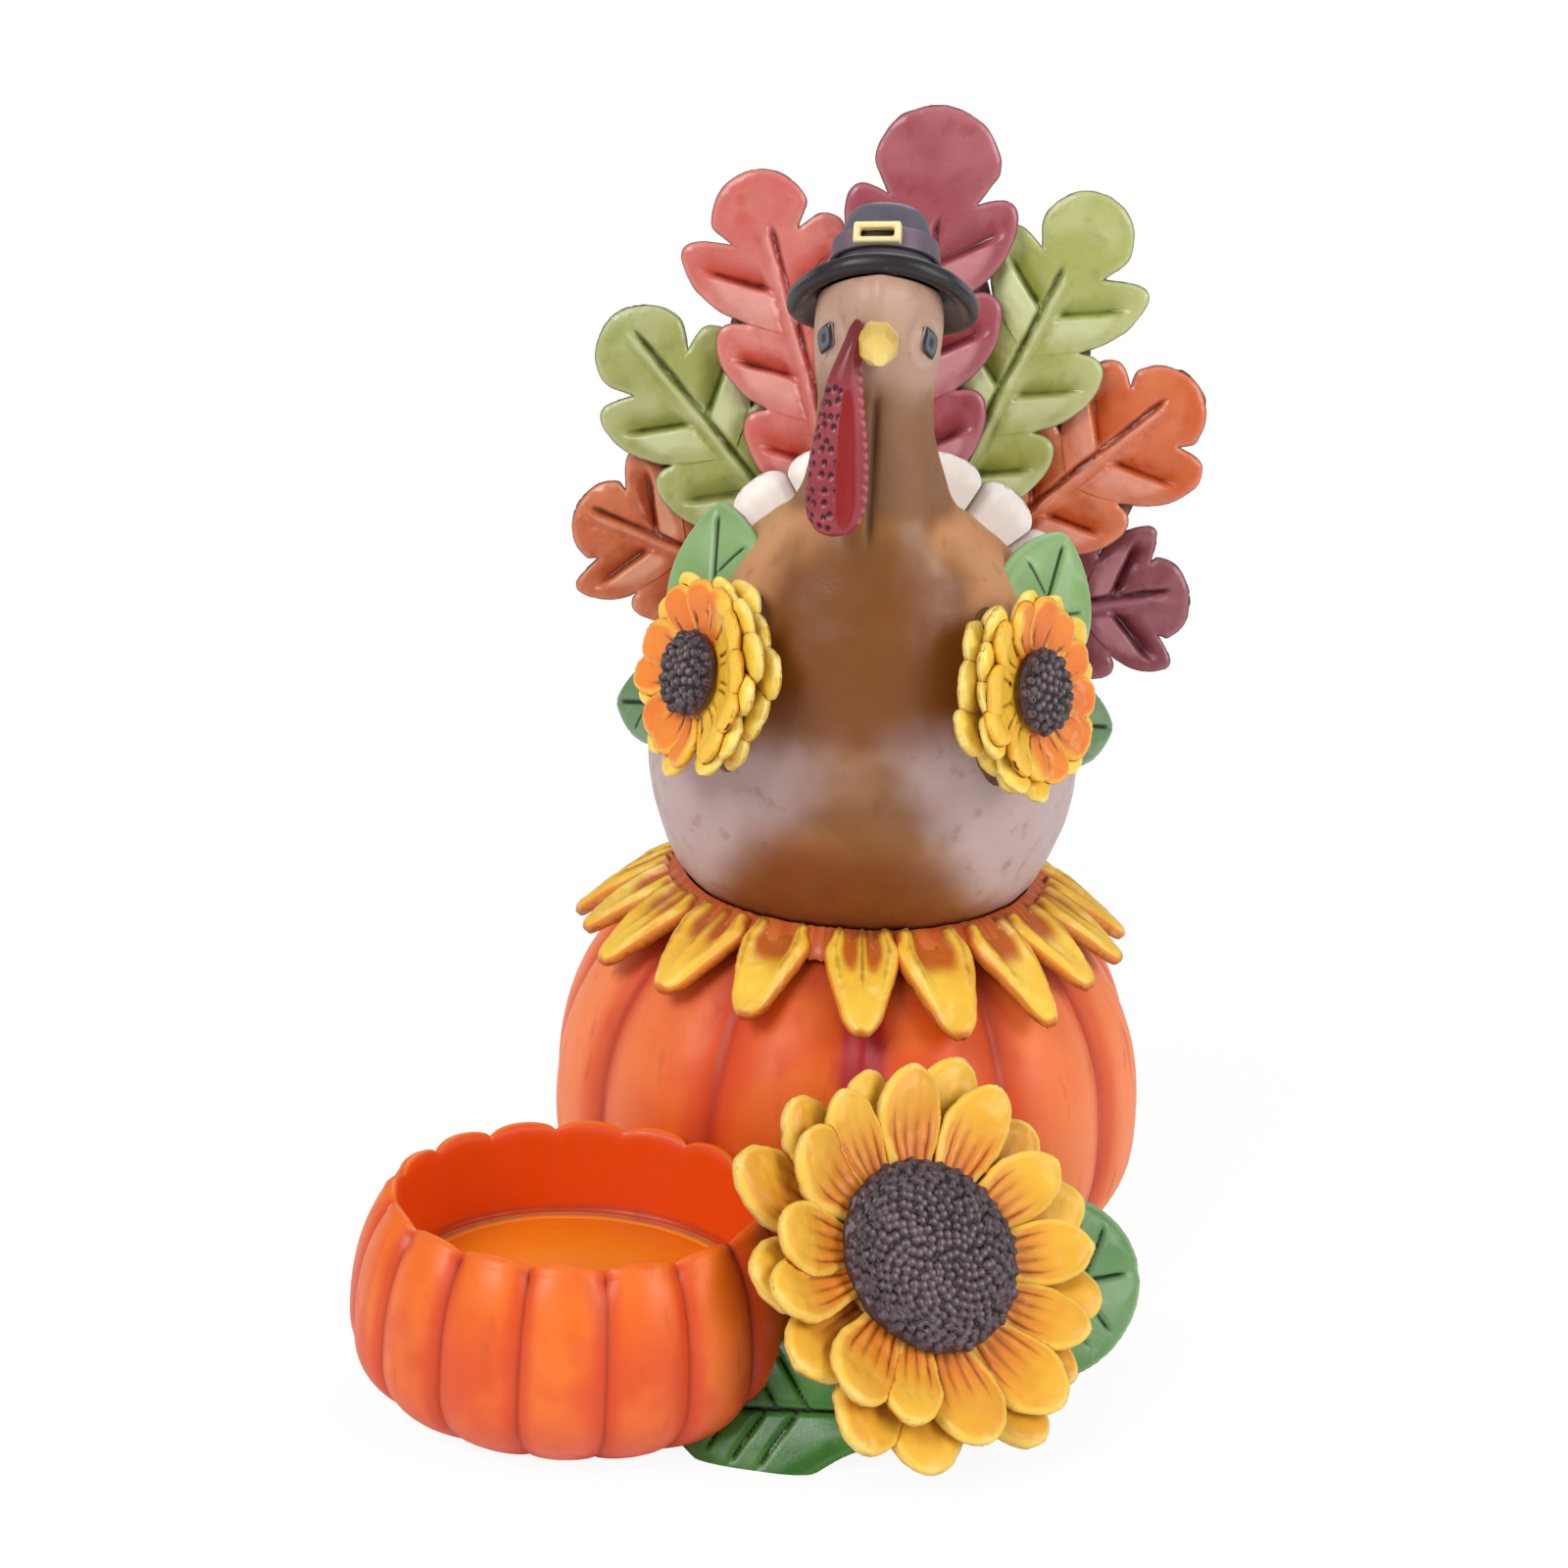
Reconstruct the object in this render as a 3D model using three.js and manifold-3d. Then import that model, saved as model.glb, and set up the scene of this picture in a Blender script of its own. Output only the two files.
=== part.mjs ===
// Thanksgiving turkey on a pumpkin, with a tea-light cup and a sunflower: a painted figure of glued castings.
// Millimetres, +Z up. The origin is the centre of the big pumpkin's underside, and the turkey faces -Y.
import * as THREE from "three";
import { mergeVertices } from "three/addons/utils/BufferGeometryUtils.js";
import Module from "manifold-3d";

// Glue gap left between castings that seat on each other
const GLUE_GAP = 0.3;

// Big pumpkin
const PUMPKIN_RADIUS = 39;
const PUMPKIN_HEIGHT = 49;
const PUMPKIN_WAIST_HEIGHT = 21;
const PUMPKIN_FOOT_RADIUS = 27;
const PUMPKIN_SEAT_RADIUS = 23;
const PUMPKIN_RIBS = 12;
const PUMPKIN_GROOVE_DEPTH = 2.6;
const PUMPKIN_GROOVE_BEARING = 3.5;

// Locating peg under the turkey and its socket in the pumpkin
const PEG_RADIUS = 6;
const PEG_LENGTH = 6;

// Collar of petals on the pumpkin's shoulder
const COLLAR_PETALS = 18;
const COLLAR_PETAL_LENGTH = 15;
const COLLAR_PETAL_THICKNESS = 2.4;
const COLLAR_PETAL_FLARE = 1.5;
const COLLAR_RING_WIDTH = 6;
const COLLAR_PETAL_UNDERCUT = 0.8;

// Turkey body, neck and head, which are one casting
const BODY_FOOT_WIDTH = 39;
const BODY_WIDTH = 55;
const BODY_BREAST = 31;
const BODY_BACK = 27.5;
const BODY_HEIGHT = 53;
const NECK_WIDTH = 14.6;
const NECK_DEPTH = 15;
const NECK_LENGTH = 17;
const NECK_FORWARD = 18.6;
const NECK_ROOT_SWELL = 4.5;
const HEAD_WIDTH = 15.4;
const HEAD_DEPTH = 18;
const HEAD_HEIGHT = 17;
const HEAD_SIDE_SHIFT = -0.8;

// Face
const BEAK_LENGTH = 6.5;
const BEAK_WIDTH = 5.4;
const BEAK_DROOP = 0.9;
const BEAK_ROOT = 2.5;
const EYE_HEIGHT = 4.4;
const EYE_WIDTH = 2.6;
const EYE_STAND = 0.9;
const EYE_BEARING = 52;
const SNOOD_LENGTH = 25;
const SNOOD_WIDTH = 7.4;
const SNOOD_DEPTH = 5.4;
const SNOOD_SIDE_SHIFT = 2.6;
const SNOOD_RISE = 2.2;
const SNOOD_ARCH = 3;

// Pilgrim hat
const HAT_BRIM_RADIUS = 11.6;
const HAT_BRIM_THICKNESS = 1.4;
const HAT_BRIM_DROOP = 1.6;
const HAT_CROWN_RADIUS = 6.2;
const HAT_CROWN_TOP_RADIUS = 4.9;
const HAT_CROWN_HEIGHT = 9.6;
const HAT_EDGE = 1.2;
const HAT_FILLET = 1;
const HAT_TOP_ROUND = 1.4;
const HAT_SETBACK = 4.2;
const HAT_TILT = 30;
const HAT_BAND_HEIGHT = 2.8;
const HAT_BAND_LIFT = 2.6;
const HAT_BAND_THICKNESS = 0.6;
const BUCKLE_WIDTH = 5.8;
const BUCKLE_HEIGHT = 3.2;
const BUCKLE_FRAME = 0.9;
const BUCKLE_THICKNESS = 1;

// Tail fan of oak leaves, in layers that step back from the middle leaf, at a share of the body's height
const TAIL_LEVEL = 0.5415;
const TAIL_SETBACK = 17.2;
const TAIL_SIDE_SHIFT = 1;
const TAIL_TILT = 6;
const TAIL_LEAF_FRONT = 1.2;
const TAIL_LEAF_BACK = 0.9;
const TAIL_LEAF_RIM = 0.1;
const TAIL_MIDDLE_LENGTH = 70.7;
const TAIL_LEFT_UPPER_LENGTH = 63.8;
const TAIL_RIGHT_UPPER_LENGTH = 66;
const TAIL_LEFT_SIDE_LENGTH = 55.4;
const TAIL_RIGHT_SIDE_LENGTH = 53.8;
const TAIL_LEFT_LOWER_LENGTH = 43.4;
const TAIL_RIGHT_LOWER_LENGTH = 42.6;
const TAIL_UPPER_WIDTH = 24;
const TAIL_SIDE_WIDTH = 23;
const TAIL_LOWER_WIDTH = 19.5;
const TAIL_MIDDLE_TIP_WIDTH = 16.6;
const TAIL_TIP_WIDTH = 13.4;
const TAIL_LOWER_TIP_WIDTH = 12.6;
const TAIL_ROOT_LENGTH = 4;
const TAIL_BACKING_THICKNESS = 3;
const COVERT_LENGTH = 14;
const COVERT_WIDTH = 9;
const COVERT_THICKNESS = 3.4;
const COVERT_REACH = 27;
const COVERT_STEP = 20.5;

// Sunflower wings, centred at a share of the body's height
const WING_LEVEL = 0.6283;
const WING_BEARING = 41;
const WING_FACING = 56;
const WING_LEAN = 12;
const WING_PAD_HEIGHT = 26;
const WING_PAD_WIDTH = 10.5;
const WING_PAD_STAND = 2.4;
const WING_FLOWER_RADIUS = 13.4;
const WING_FRONT_RADIUS = 12.2;
const WING_SEED_RADIUS = 5.6;
const WING_SEED_HEIGHT = 2.2;
const WING_ROOT_INSET = 2;
const WING_PETAL_THICKNESS = 1.3;
const WING_PETAL_LIFT = 2.2;
const WING_PETALS = 12;
const WING_LEAF_LENGTH = 21;
const WING_LEAF_WIDTH = 15.5;
const WING_LEAF_THICKNESS = 1.8;
const WING_LEAF_INSET = 1.5;
const WING_LEAF_DROP = 5.8;
const WING_LEAF_TURN_LEFT = -17;
const WING_LEAF_TURN_RIGHT = 33;
const WING_SIDE_LEAF_LENGTH = 14;
const WING_SIDE_LEAF_WIDTH = 10.5;

// Tea-light cup shaped as a small open pumpkin
const CUP_RADIUS = 27.2;
const CUP_HEIGHT = 26.6;
const CUP_WAIST_HEIGHT = 10.5;
const CUP_FOOT_RADIUS = 18;
const CUP_RIM_RADIUS = 23.6;
const CUP_WELL_RADIUS = 21.2;
const CUP_FLOOR_HEIGHT = 14.8;
const CUP_RIBS = 16;
const CUP_GROOVE_DEPTH = 1.5;
const CUP_GROOVE_BEARING = 12.4;
const CUP_RIM_SCALLOP = 1.3;
const CUP_RIM_ROUND = 1;
const CUP_WELL_TAPER = 0.2;
const CUP_BEARING = -29.7;
const CUP_BITE = 3.6;

// Front sunflower and the leaves round it
const FLOWER_RADIUS = 26;
const FLOWER_FRONT_RADIUS = 23.8;
const FLOWER_SEED_RADIUS = 11.9;
const FLOWER_SEED_HEIGHT = 3;
const FLOWER_ROOT_INSET = 3;
const FLOWER_HUB_INSET = 1.5;
const FLOWER_PETAL_THICKNESS = 1.9;
const FLOWER_BACK_LIFT = 3;
const FLOWER_FRONT_LIFT = 4.2;
const FLOWER_PETALS = 13;
const FLOWER_BEARING = 8.1;
const FLOWER_REACH = 21.8;
const FLOWER_HEIGHT = 21.3;
const FLOWER_FACING = 36;
const FLOWER_LEAN = 37;
const STEM_RADIUS = 10;
const GROUND_LEAF_LENGTH = 26;
const GROUND_LEAF_WIDTH = 19;
const GROUND_LEAF_SIDE = 2.6;
const GROUND_LEAF_AHEAD = 8.6;
const GROUND_LEAF_HEIGHT = 6.2;
const SIDE_LEAF_LENGTH = 25;
const SIDE_LEAF_WIDTH = 23;
const SIDE_LEAF_SIDE = 6.4;
const SIDE_LEAF_BEHIND = 13;
const SIDE_LEAF_HEIGHT = 11.4;
const LEAF_THICKNESS = 2;

const wasm = await Module();
wasm.setup();

const { degToRad, lerp, smoothstep } = THREE.MathUtils;
const UP = new THREE.Vector3(0, 0, 1);

// Closed mesh of a geometry, with only its positions kept
function solid(geometry) {
  const bare = new THREE.BufferGeometry().setAttribute("position", geometry.getAttribute("position"));
  bare.setIndex(geometry.index);
  const merged = mergeVertices(bare, 1e-4);
  const vertProperties = merged.getAttribute("position").array;
  const triVerts = new Uint32Array(merged.index.array);
  return new wasm.Manifold(new wasm.Mesh({ numProp: 3, vertProperties, triVerts }));
}

// Geometry of a solid, without the loose crumbs that a cut can leave beside the piece
function geometryOf(made) {
  const pieces = made.decompose();
  const whole = pieces.reduce((largest, piece) => (piece.volume() > largest.volume() ? piece : largest));
  const { vertProperties, triVerts } = whole.getMesh();
  const geometry = new THREE.BufferGeometry();
  geometry.setAttribute("position", new THREE.BufferAttribute(vertProperties, 3));
  geometry.setIndex(new THREE.BufferAttribute(triVerts, 1));
  geometry.computeVertexNormals();
  return geometry;
}

function cut(geometry, ...tools) {
  return geometryOf(tools.reduce((rest, tool) => rest.subtract(solid(tool)), solid(geometry)));
}

function join(...geometries) {
  return geometryOf(geometries.map(solid).reduce((whole, next) => whole.add(next)));
}

function signedVolume(points, faces) {
  let volume = 0;
  for (let i = 0; i < faces.length; i += 3) {
    const [a, b, c] = [points[faces[i]], points[faces[i + 1]], points[faces[i + 2]]];
    volume += a.dot(new THREE.Vector3().crossVectors(b, c)) / 6;
  }
  return volume;
}

// Closed skin over a row of rings with equal point counts: a loop runs back to its first ring,
// and an open row gets a fan over each end ring
function loft(rings, loop = false) {
  const count = rings[0].length;
  const points = rings.flat();
  const faces = [];
  for (let r = 0; r + (loop ? 0 : 1) < rings.length; r++) {
    const next = (r + 1) % rings.length;
    for (let i = 0; i < count; i++) {
      const j = (i + 1) % count;
      const [a, b, c, d] = [r * count + i, r * count + j, next * count + j, next * count + i];
      faces.push(a, b, c, a, c, d);
    }
  }
  const ends = loop ? [] : [[rings[0], 0], [rings.at(-1), (rings.length - 1) * count]];
  for (const [ring, first] of ends) {
    const centre = points.length;
    points.push(ring.reduce((sum, p) => sum.add(p), new THREE.Vector3()).divideScalar(count));
    for (let i = 0; i < count; i++) {
      const side = [first + i, first + ((i + 1) % count)];
      faces.push(centre, ...(first === 0 ? side.reverse() : side));
    }
  }
  if (signedVolume(points, faces) < 0) faces.reverse();
  const geometry = new THREE.BufferGeometry().setFromPoints(points);
  geometry.setIndex(faces);
  geometry.computeVertexNormals();
  return geometry;
}

// Solid turned about +Z from a profile of [radius, height] points that starts and ends on the axis
function turned(profile, segments) {
  const points = profile.map(([radius, height]) => new THREE.Vector2(radius, height));
  return new THREE.LatheGeometry(points, segments).rotateX(Math.PI / 2);
}

// Level direction at a bearing in degrees, counted from the front (-Y) towards +X
function level(bearing) {
  return new THREE.Vector3(Math.sin(degToRad(bearing)), -Math.cos(degToRad(bearing)), 0);
}

// Frame whose +Z faces a bearing and rises by an elevation, with +X level and +Y up its face
function facing(origin, bearing, elevation) {
  const outward = level(bearing).multiplyScalar(Math.cos(degToRad(elevation)));
  outward.z = Math.sin(degToRad(elevation));
  const across = new THREE.Vector3().crossVectors(UP, outward).normalize();
  const upward = new THREE.Vector3().crossVectors(outward, across);
  return new THREE.Matrix4().makeBasis(across, upward, outward).setPosition(origin);
}

function placed(geometry, matrix) {
  return geometry.clone().applyMatrix4(matrix);
}

function steps(count, value) {
  return Array.from({ length: count }, (_, i) => value(i));
}

// Colours of the paint
const paint = (color, roughness = 0.5) => new THREE.MeshStandardMaterial({ color, roughness, metalness: 0 });
const PAINT = {
  pumpkin: paint(0xe8622a),
  collar: paint(0xe2ad35),
  brown: paint(0x8a5634),
  beak: paint(0xf0cf57),
  snood: paint(0xa92b34),
  eye: paint(0x4a4442, 0.3),
  hat: paint(0x3d3b42),
  band: paint(0x5a5260),
  buckle: paint(0xe9cf7a),
  maroon: paint(0x93404c),
  red: paint(0xc4574c),
  green: paint(0x9fae55),
  orange: paint(0xc9582b),
  backing: paint(0x7d5a48),
  white: paint(0xf1ebe3),
  petal: paint(0xf2c436),
  innerPetal: paint(0xf08a35),
  flower: paint(0xe9b233),
  seed: paint(0x4b3a3c, 0.7),
  wingLeaf: paint(0x86ad74),
  groundLeaf: paint(0x3f7434),
  stem: paint(0x4f7a3c),
};

const figure = new THREE.Group();
figure.name = "turkey_figure";

function piece(name, geometry, material, parent = figure) {
  const mesh = new THREE.Mesh(geometry, material);
  mesh.name = name;
  parent.add(mesh);
  return mesh;
}

function framed(matrix) {
  const group = new THREE.Group();
  matrix.decompose(group.position, group.quaternion, group.scale);
  figure.add(group);
  return group;
}

// Rib crown across a pumpkin, 0 in a groove and 1 along the middle of a rib
function ribCrown(bearing, ribs, grooveBearing) {
  const turn = ((bearing - grooveBearing) * ribs) / 360;
  return Math.pow(Math.abs(Math.sin(Math.PI * turn)), 0.55);
}

// Radius of a swelling wall: its full radius at share 0 and its edge radius at share 1
function swelling(radius, edge, share) {
  const fullness = 2.3;
  const end = Math.pow(1 - Math.pow(edge / radius, fullness), 1 / fullness);
  return radius * Math.pow(1 - Math.pow(share * end, fullness), 1 / fullness);
}

// Shares of a swelling wall's height, closer together towards its edge
function swellShares(count) {
  return steps(count + 1, (i) => Math.sin((i / count) * Math.PI / 2));
}

// Rings of a ribbed pumpkin wall as [radius, height], from its foot to its top edge
function pumpkinWall({ radius, foot, edge, waist, height, below, above }) {
  const lower = swellShares(below).map((s) => [swelling(radius, foot, s), waist * (1 - s)]).reverse();
  const upper = swellShares(above).map((s) => [swelling(radius, edge, s), waist + (height - waist) * s]);
  return [...lower, ...upper.slice(1)];
}

const PUMPKIN_SHAPE = {
  radius: PUMPKIN_RADIUS,
  foot: PUMPKIN_FOOT_RADIUS,
  edge: PUMPKIN_SEAT_RADIUS,
  waist: PUMPKIN_WAIST_HEIGHT,
  height: PUMPKIN_HEIGHT,
};

function pumpkinSkin(grow) {
  const wall = pumpkinWall({ ...PUMPKIN_SHAPE, below: 3, above: 5 });
  const count = PUMPKIN_RIBS * 4;
  const bearings = steps(count, (i) => PUMPKIN_GROOVE_BEARING + (i * 360) / count);
  const top = wall.length - 1;
  return loft(wall.map(([radius, height], ring) => bearings.map((bearing) => {
    const groove = PUMPKIN_GROOVE_DEPTH * (1 - ribCrown(bearing, PUMPKIN_RIBS, PUMPKIN_GROOVE_BEARING));
    const rise = ring === top ? grow : ring === 0 ? -grow : 0;
    return level(bearing).multiplyScalar(radius - groove + grow).setZ(height + rise);
  })));
}

// Upright round rod, centred on the axis at a height
function rod(radius, length, height, segments) {
  return new THREE.CylinderGeometry(radius, radius, length, segments)
    .rotateX(Math.PI / 2)
    .translate(0, 0, height);
}

const socket = rod(PEG_RADIUS + GLUE_GAP, 2 * (PEG_LENGTH + GLUE_GAP), PUMPKIN_HEIGHT, 24);
piece("pumpkin_base", cut(pumpkinSkin(0), socket), PAINT.pumpkin);
const pumpkinSeat = pumpkinSkin(GLUE_GAP);

// Stations of the turkey from foot to crown: height, half width, front and back of an oval section
const BODY_FOOT = PUMPKIN_HEIGHT + GLUE_GAP;

function turkeyStations() {
  const shoulder = BODY_FOOT + BODY_HEIGHT;
  const chin = shoulder + NECK_LENGTH;
  const half = BODY_WIDTH / 2;
  const body = (share, width, front, back) => ({
    z: BODY_FOOT + BODY_HEIGHT * share,
    half: half * width,
    front: -BODY_BREAST * front,
    back: BODY_BACK * back,
    shift: 0,
  });
  const neckFront = -NECK_FORWARD - NECK_DEPTH / 2;
  const neckBack = -NECK_FORWARD + NECK_DEPTH / 2;
  const neck = (share, width, back) => ({
    z: lerp(shoulder, chin, share),
    half: (NECK_WIDTH / 2) * width,
    front: neckFront,
    back: neckBack + NECK_ROOT_SWELL * back,
    shift: HEAD_SIDE_SHIFT * share,
  });
  const headMiddle = neckFront + HEAD_DEPTH * 0.445;
  const head = (share, width, front, back) => ({
    z: chin + HEAD_HEIGHT * share,
    half: (HEAD_WIDTH / 2) * width,
    front: headMiddle - (HEAD_DEPTH / 2) * front,
    back: headMiddle + (HEAD_DEPTH / 2) * back,
    shift: HEAD_SIDE_SHIFT,
  });
  return [
    { ...body(0, 0, 0.68, 0.74), half: BODY_FOOT_WIDTH / 2 },
    body(0.05, 0.83, 0.8, 0.86),
    body(0.15, 0.93, 0.9, 0.95),
    body(0.29, 1, 0.97, 1),
    body(0.43, 1, 1, 0.99),
    body(0.58, 0.94, 1, 0.9),
    body(0.73, 0.83, 0.97, 0.73),
    body(0.86, 0.68, 0.92, 0.5),
    body(0.96, 0.49, 0.885, 0.2),
    neck(0.14, 1.32, 1),
    neck(0.5, 1.05, 0.13),
    neck(0.9, 0.97, -0.07),
    head(0.2, 1, 1, 0.85),
    head(0.5, 1.02, 0.98, 1),
    head(0.78, 0.86, 0.84, 0.9),
    head(1, 0.42, 0.3, 0.5),
  ];
}

// Oval section of the turkey, or of a slice between two stations
function turkeyRing({ z, half, front, back, shift }, grow, count) {
  const middle = (front + back) / 2;
  const depth = (back - front) / 2 + grow;
  return steps(count, (i) => {
    const turn = (i / count) * 2 * Math.PI;
    return new THREE.Vector3(shift + (half + grow) * Math.sin(turn), middle - depth * Math.cos(turn), z);
  });
}

function turkeySkin(grow) {
  const stations = turkeyStations();
  const keys = ["z", "half", "front", "back", "shift"];
  const middle = (a, b, c, d) => (9 * (b + c) - a - d) / 16;
  const between = (a, b, c, d) => Object.fromEntries(keys.map((k) => [k, middle(a[k], b[k], c[k], d[k])]));
  const rounded = stations.flatMap((here, i) => {
    const next = stations[i + 1];
    if (!next || i < 1 || i > 8) return [here];
    return [here, between(stations[i - 1], here, next, stations[i + 2] ?? next)];
  });
  const rings = rounded.map((station) => turkeyRing(station, grow, 22));
  rings[0].forEach((p) => p.setZ(p.z - grow));
  rings.at(-1).forEach((p) => p.setZ(p.z + grow));
  return loft(rings);
}

// Point of the turkey's skin at a height and a bearing round the section's own middle
function turkeySurface(height, bearing) {
  const stations = turkeyStations();
  const above = stations.findIndex((station) => station.z > height);
  const [low, high] = [stations[above - 1], stations[above]];
  const share = (height - low.z) / (high.z - low.z);
  const at = (key) => lerp(low[key], high[key], share);
  const turn = degToRad(bearing);
  const middle = (at("front") + at("back")) / 2;
  const depth = (at("back") - at("front")) / 2;
  const side = at("shift") + at("half") * Math.sin(turn);
  return new THREE.Vector3(side, middle - depth * Math.cos(turn), height);
}

const CHIN_HEIGHT = BODY_FOOT + BODY_HEIGHT + NECK_LENGTH;
const TAIL_HEIGHT = BODY_FOOT + BODY_HEIGHT * TAIL_LEVEL;
const WING_HEIGHT = BODY_FOOT + BODY_HEIGHT * WING_LEVEL;
const turkeySeat = turkeySkin(GLUE_GAP);

// Hat, in its own frame: brim plane at zero, crown up
function hatSkin(grow) {
  const under = -HAT_BRIM_THICKNESS - grow;
  const brim = HAT_BRIM_RADIUS + grow;
  const crown = HAT_CROWN_RADIUS + grow;
  const top = HAT_CROWN_HEIGHT + grow;
  const hat = turned([
    [0, under],
    [brim - HAT_EDGE, under],
    [brim, under / 2],
    [brim - HAT_EDGE / 2, grow + HAT_EDGE / 6],
    [crown + HAT_FILLET, grow],
    [crown, HAT_FILLET * 0.8 + grow],
    [lerp(crown, HAT_CROWN_TOP_RADIUS + grow, 0.55), top * 0.6],
    [HAT_CROWN_TOP_RADIUS + grow, top - HAT_TOP_ROUND],
    [HAT_CROWN_TOP_RADIUS + grow - HAT_TOP_ROUND, top - HAT_TOP_ROUND * 0.15],
    [0, top],
  ], 28);
  const position = hat.getAttribute("position");
  for (let i = 0; i < position.count; i++) {
    const side = position.getX(i) / HAT_BRIM_RADIUS;
    position.setZ(i, position.getZ(i) - HAT_BRIM_DROOP * side * side);
  }
  return hat;
}

const hatFrame = new THREE.Matrix4()
  .makeRotationX(-degToRad(HAT_TILT))
  .setPosition(HEAD_SIDE_SHIFT / 2, HAT_SETBACK - NECK_FORWARD, CHIN_HEIGHT + HEAD_HEIGHT * 0.66);
const peg = rod(PEG_RADIUS, 2 * PEG_LENGTH, BODY_FOOT, 24);
piece("turkey_body", cut(join(turkeySkin(0), peg), placed(hatSkin(GLUE_GAP), hatFrame)), PAINT.brown);

const hat = framed(hatFrame);
piece("hat", hatSkin(0), PAINT.hat, hat);

// Radius of the crown at a height above the brim
function crownRadius(height) {
  return lerp(HAT_CROWN_RADIUS, HAT_CROWN_TOP_RADIUS, height / HAT_CROWN_HEIGHT);
}

// Sleeve round the crown between two heights, as a closed lathe section
function crownSleeve(low, high, inner, outer) {
  const section = [
    [crownRadius(low) + inner, low],
    [crownRadius(low) + outer, low],
    [crownRadius(high) + outer, high],
    [crownRadius(high) + inner, high],
    [crownRadius(low) + inner, low],
  ];
  const sleeve = turned(section, 28);
  const position = sleeve.getAttribute("position");
  for (let i = 0; i < position.count; i++) {
    const side = position.getX(i) / HAT_BRIM_RADIUS;
    position.setZ(i, position.getZ(i) - HAT_BRIM_DROOP * side * side);
  }
  return sleeve;
}

const bandTop = HAT_BAND_LIFT + HAT_BAND_HEIGHT;
const bandInside = GLUE_GAP;
const bandOutside = bandInside + HAT_BAND_THICKNESS;
piece("hat_band", crownSleeve(HAT_BAND_LIFT, bandTop, bandInside, bandOutside), PAINT.band, hat);

// Buckle frame on the front of the band
function buckleFrame() {
  const outline = new THREE.Shape();
  outline.moveTo(-BUCKLE_WIDTH / 2, -BUCKLE_HEIGHT / 2);
  outline.lineTo(BUCKLE_WIDTH / 2, -BUCKLE_HEIGHT / 2);
  outline.lineTo(BUCKLE_WIDTH / 2, BUCKLE_HEIGHT / 2);
  outline.lineTo(-BUCKLE_WIDTH / 2, BUCKLE_HEIGHT / 2);
  outline.closePath();
  const slot = new THREE.Path();
  const [slotX, slotY] = [BUCKLE_WIDTH / 2 - BUCKLE_FRAME, BUCKLE_HEIGHT / 2 - BUCKLE_FRAME];
  slot.moveTo(-slotX, -slotY);
  slot.lineTo(-slotX, slotY);
  slot.lineTo(slotX, slotY);
  slot.lineTo(slotX, -slotY);
  slot.closePath();
  outline.holes.push(slot);
  const depth = 3 * BUCKLE_THICKNESS;
  const front = crownRadius(HAT_BAND_LIFT) + bandOutside + BUCKLE_THICKNESS;
  return new THREE.ExtrudeGeometry(outline, { depth, bevelEnabled: false })
    .rotateX(Math.PI / 2)
    .translate(0, depth - front, HAT_BAND_LIFT + HAT_BAND_HEIGHT / 2);
}
const bandSeat = crownSleeve(
  HAT_BAND_LIFT - BUCKLE_HEIGHT / 3,
  bandTop + BUCKLE_HEIGHT / 3,
  -HAT_CROWN_TOP_RADIUS,
  bandOutside + GLUE_GAP,
);
piece("hat_buckle", cut(buckleFrame(), bandSeat), PAINT.buckle, hat);

// Cross-section of a leaf or petal over a keeled underside; with a crease, its halves rise beside the midrib
function bladeRing({ centre, along, across, out, half, slant = 0, rim, crown, crease, under }) {
  const at = (side, height) => centre.clone()
    .addScaledVector(across, half * side)
    .addScaledVector(along, half * slant * Math.abs(side))
    .addScaledVector(out, height);
  const face = crease === undefined ? [at(0, crown)] : [at(-0.5, crown), at(0, crease), at(0.5, crown)];
  return [at(-1, rim), ...face, at(1, rim), at(0, -under)];
}

const FLAT = {
  along: new THREE.Vector3(0, 1, 0),
  across: new THREE.Vector3(1, 0, 0),
  out: new THREE.Vector3(0, 0, 1),
};

// Half width of a petal: it swells from its root to its widest share, then closes on a round or pointed tip
function petalHalf(share, half, rootShare, widest, point) {
  if (share < widest) return half * lerp(rootShare, 1, smoothstep(share, 0, widest));
  const end = (share - widest) / (1 - widest);
  return half * Math.pow(1 - 0.92 * end * end, point);
}

// Flat petal along +Y from a root radius to a tip radius, rising by a lift at its tip
function petal({ count, root, tip, level: base, lift, thickness, point, creased }) {
  const widest = 0.55;
  const sideShare = 0.97 * Math.tan(Math.PI / count);
  const half = lerp(root, tip, widest) * sideShare;
  return loft([0, widest, 0.86, 1].map((share) => bladeRing({
    ...FLAT,
    centre: new THREE.Vector3(0, lerp(root, tip, share), base + lift * share * share),
    half: petalHalf(share, half, (root * sideShare) / half, widest, point),
    rim: thickness * 0.15,
    crown: thickness * 0.5,
    crease: creased ? thickness * 0.2 : undefined,
    under: thickness * 0.5,
  })));
}

// Row of petals round a hub disc, as one casting
function petalRow({ count, turn, hub, bottom, top, ...shape }) {
  const disc = turned([[0, bottom], [hub, bottom], [hub, top], [0, top]], 2 * count);
  const one = petal({ count, ...shape });
  const around = steps(count, (i) => one.clone().rotateZ(degToRad(turn) + (i * 2 * Math.PI) / count));
  return join(disc, ...around);
}

// Collar: a ring on the pumpkin's seat with pointed petals that drape over the shoulder
const shoulderWall = pumpkinWall({ ...PUMPKIN_SHAPE, below: 1, above: 12 }).slice(1).reverse();
const shoulderLine = new THREE.SplineCurve(shoulderWall.map((spot) => new THREE.Vector2(...spot)));

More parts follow.
